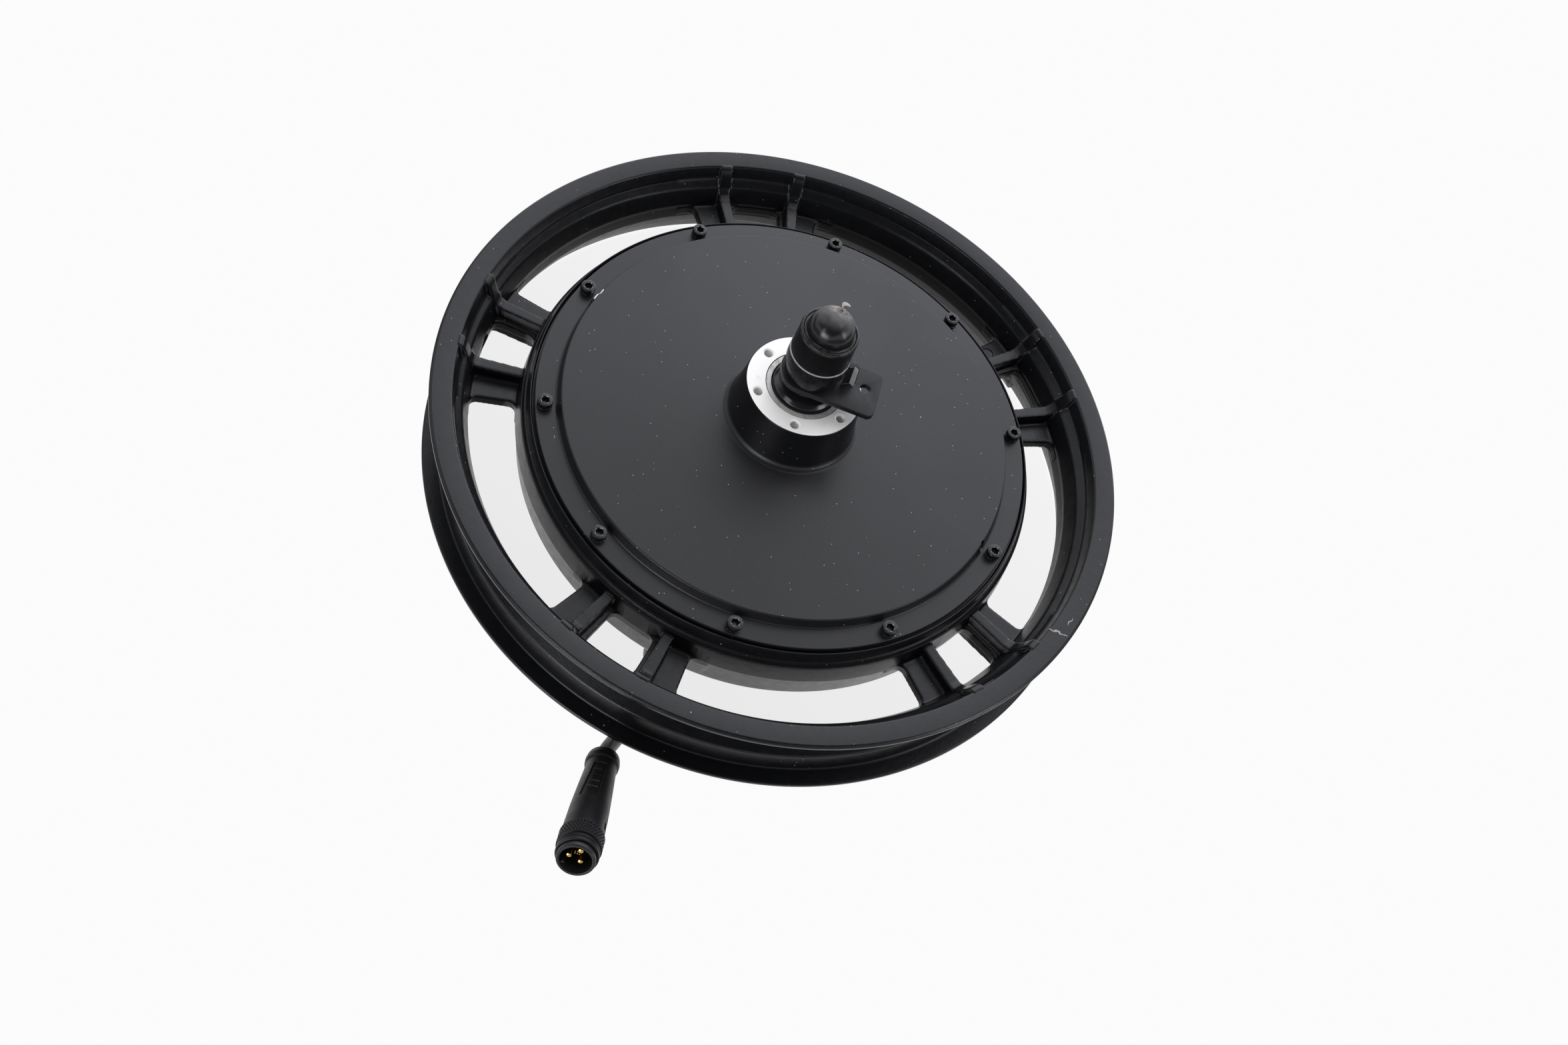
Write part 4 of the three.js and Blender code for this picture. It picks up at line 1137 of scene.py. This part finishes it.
def coupling_ring():
    outline = rounded([
        (8.1, KNURL_Y[0]), (9.2, KNURL_Y[0], 0.3), (9.2, KNURL_Y[1], 0.3), (8.35, 62, 0.1),
        (8.35, 62.9, 0.1), (8.75, 63.2, 0.15), (8.75, 63.7, 0.15), (8.35, 64, 0.1), (8.35, 64.5, 0.1),
        (8.75, 64.8, 0.15), (8.75, 66, 0.3), (8.1, 66.2),
    ], 3)
    ring = sunk_turning("coupling_nut", refine(outline, 0.22), 480, knurl_depth)
    plug_piece(ring, RING, PLASTIC, "black_plastic", "plug_coupling_ring", angle=50)


def plug_insert():
    insert = turned("socket_insert", [
        (0, KNURL_Y[0]), (7.7, KNURL_Y[0]), (7.7, 66.6, 0.2), (MOUTH_R, 67, 0.2),
        (MOUTH_R, PLUG_LONG - 0.5, 0.3), (MOUTH_R - 0.4, PLUG_LONG, 0.25), (6.5, PLUG_LONG, 0.3),
        (6.25, SOCKET_FLOOR_Y), (0, SOCKET_FLOOR_Y),
    ], MEDIUM)
    key = moved(block("key", (1.6, 8, 1.3), 0.3), 6, PLUG_LONG - 5.2, 0)
    boolean(insert, turned_about_y(key, KEY_ANGLE), "UNION")
    plug_piece(insert, FIXED, SOCKET, "black_plastic", "plug_insert")


def pins():
    """Three power pins, and six signal pins as one piece."""
    foot = SOCKET_FLOOR_Y + 0.02
    for i, angle in enumerate(every_angle(PIN_COUNT, PIN_START)):
        pin = turned(f"pin_{i + 1}", [(0, foot), (1.15, foot), (1.15, 66.5, 0.8), (0, 66.6)], 32)
        plug_piece(placed(pin, PIN_CIRCLE_R, angle), FIXED, GOLD, "gold_pin", f"power_pin_{i + 1}")
    foot = SOCKET_FLOOR_Y - 0.2
    small = []
    for i in range(6):
        signal = turned("signal", [(0, foot), (0.24, foot), (0.24, 64.4, 0.15), (0, 64.4)], 12)
        small.append(moved(signal, (i % 3 - 1) * 0.95, 0, (i // 3 - 0.5) * 1))
    plug_piece(combined("signal_pins", small), FIXED, GOLD, "gold_pin")


# ---- hidden motor parts
def dress(material, slot, *names):
    """A material for CAD nodes that stay as they are."""
    for name in names:
        node = frame["nodes"][name]
        paint(node.data, material)


def hidden_parts():
    for node, name, *look in (
        ("lamination_stack", "electrical_steel", (0.16, 0.16, 0.17), (0.09, 0.09, 0.09), 0.5, 0.7, 12000),
        ("phase_windings", "enamelled_copper", (0.42, 0.13, 0.035), (0.28, 0.08, 0.02), 0.3, 0.6, 5200),
        ("magnet_ring", "magnet_plating", (0.45, 0.44, 0.41), (0.34, 0.33, 0.31), 0.32, 0.9, 900),
        ("stator_spider", "cast_aluminium", (0.48, 0.48, 0.47), (0.36, 0.36, 0.35), 0.55, 0.8, 2000),
    ):
        dress(layered(name, *look), name, node)
    board = layered("circuit_board", (0.02, 0.10, 0.035), (0.03, 0.14, 0.05), 0.4, 0, 3000)
    lead = moulded("lead_insulation", (0.10, 0.02, 0.015), 0.4, 900, 0.00004)
    dress(board, "board", "hall_sensor_board")
    dress(lead, "lead_insulation", "phase_leads")
    dress(RACE, "bare_steel", "back_iron_ring", "axle_key", "brake_bearing_inner_race",
          "cable_bearing_inner_race", "cable_bearing_outer_race", "brake_bearing_cage", "cable_bearing_cage")


# ---- stage, light and camera
SHEET_Y, SHEET_HALF, SHEET_GLOW = 0.115, 6, 0.968
# painted shade: the sheet seen through the wheel glows less, darker towards -X and -Z, as if the wheel
# shaded it
PAINTED_SHADE_GLOW, PAINTED_SHADE_SLOPE = 0.855, (0.22, 0.28)     # the sheet seen through the wheel, which shades it
RIM_FACE_Y, RIM_EDGE = 0.0225, (0.1485, 0.1520)
WORLD_WHITE, WORLD_TINT, WORLD_BASE = 0.970, (0.965, 0.98, 1.05), 0.025
HORIZON_EDGES = ((0, 0.12), (0.46, 0.24))
WORLD_LOBES = (                          # direction, inner and outer angle, strength
    ((0.27, -0.83, 0.49), 26, 36, 0.92),
    ((0.42, -0.35, 0.84), 14, 52, 1.4),
    ((-0.60, -0.60, 0.49), 12, 24, 0.8),
    ((-0.68, -0.14, -0.72), 7, 17, 6),
    ((-0.72, -0.50, -0.48), 6, 14, 2.2),
    ((0.60, -0.80, -0.06), 6, 12, 2.4),
    ((0.80, -0.25, -0.54), 6, 13, 4),
    ((0.2, 1, 0.2), 20, 80, 0.7),
)


def backdrop():
    """A large pale sheet behind the wheel, with painted shade where it is seen through the rim; it hides
    from cameras behind it or nearly edge-on.
    """
    mesh = bpy.data.meshes.new("backdrop")
    signs = ((-1, -1), (1, -1), (1, 1), (-1, 1))
    mesh.from_pydata([(s * SHEET_HALF, SHEET_Y, t * SHEET_HALF) for s, t in signs], [], [(0, 1, 2, 3)])
    m = Material("pale_sheet", (0.80, 0.80, 0.80), 0.9, specular=0)
    geometry = m.add("NewGeometry").outputs
    incoming = geometry["Incoming"]
    incoming_y = m.split(incoming)[1]
    facing = m.step(m.times(incoming_y, -1), 0.15, 0.40)
    reach = m.math("DIVIDE", RIM_FACE_Y - SHEET_Y, incoming_y)
    back = m.add("VectorMath", {0: incoming, "Scale": reach}, operation="SCALE").outputs[0]
    crossing = m.add("VectorMath", {0: geometry["Position"], 1: back}, operation="ADD").outputs[0]
    x, _, z = m.split(crossing)
    # painted shade inside the rim, darker towards -X and -Z
    slope = m.plus(m.times(x, PAINTED_SHADE_SLOPE[0]), m.times(z, PAINTED_SHADE_SLOPE[1]))
    outside = m.step(m.radius(crossing), *RIM_EDGE)
    strength = m.between(outside, m.plus(slope, PAINTED_SHADE_GLOW), SHEET_GLOW)
    glow = m.add("Emission", {"Strength": strength}).outputs[0]
    clear = m.add("BsdfTransparent").outputs[0]
    mixed = m.add("MixShader", {0: facing, 1: clear, 2: glow}).outputs[0]
    m.feed(m.tree.nodes["Material Output"].inputs["Surface"], mixed)
    mesh.materials.append(m.material)
    new_object("backdrop", mesh)


def world():
    """White for the camera; for the object, a few soft patches and a band of light in a dark room."""
    studio = bpy.data.worlds.new("studio")
    bpy.context.scene.world = studio
    w = Tree(studio)
    place = w.add("TexCoord").outputs["Generated"]
    light = WORLD_BASE
    for direction, inner, outer, strength in WORLD_LOBES:
        edges = (math.cos(math.radians(outer)), math.cos(math.radians(inner)))
        lobe = w.step(w.dot(place, Vector(direction).normalized()), *edges, 0, strength)
        light = w.plus(light, lobe)
    ahead = w.dot(place, (0, -1, 0))
    rise, fall = (w.step(ahead, *edges) for edges in HORIZON_EDGES)
    light = w.plus(light, w.times(rise, fall))
    seen = w.add("LightPath").outputs["Is Camera Ray"]
    background = w.tree.nodes["Background"].inputs
    w.feed(background["Color"], w.mix(seen, WORLD_TINT, (1, 1, 1)))
    w.feed(background["Strength"], w.between(seen, light, WORLD_WHITE))


def softbox(name, place, size, power):
    """An area light that looks at the wheel's centre."""
    light = bpy.data.lights.new(name, "AREA")
    light.shape = "RECTANGLE"
    light.size = light.size_y = size
    light.energy = power
    lamp = new_object(name, light)
    lamp.location = Vector(place)
    lamp.rotation_euler = (-Vector(place)).to_track_quat("-Z", "Y").to_euler()
    return lamp


def camera():
    data = bpy.data.cameras.new("camera")
    data.sensor_width = 36
    data.lens = CAMERA_LENS
    holder = new_object("camera", data)
    turn = Matrix((CAMERA_RIGHT, CAMERA_UP, CAMERA_RIGHT.cross(CAMERA_UP))).transposed().to_4x4()
    holder.matrix_world = Matrix.Translation(CAMERA_PLACE * MM) @ turn
    bpy.context.scene.camera = holder


cast_wheel()
brake_cover()
cable_cover()
cover_screws()
bearings()
axle_hardware()
motor_cable()
plug_body()
coupling_ring()
plug_insert()
pins()
hidden_parts()
backdrop()
world()
softbox("key", (-0.2, -1.7, 0.1), 2.2, 18.5).visible_glossy = False
softbox("back", (0.5, 1.4, 0.9), 1.2, 14)
camera()
bpy.context.scene.cycles.use_denoising = True
bpy.context.scene.view_settings.view_transform = "Standard"
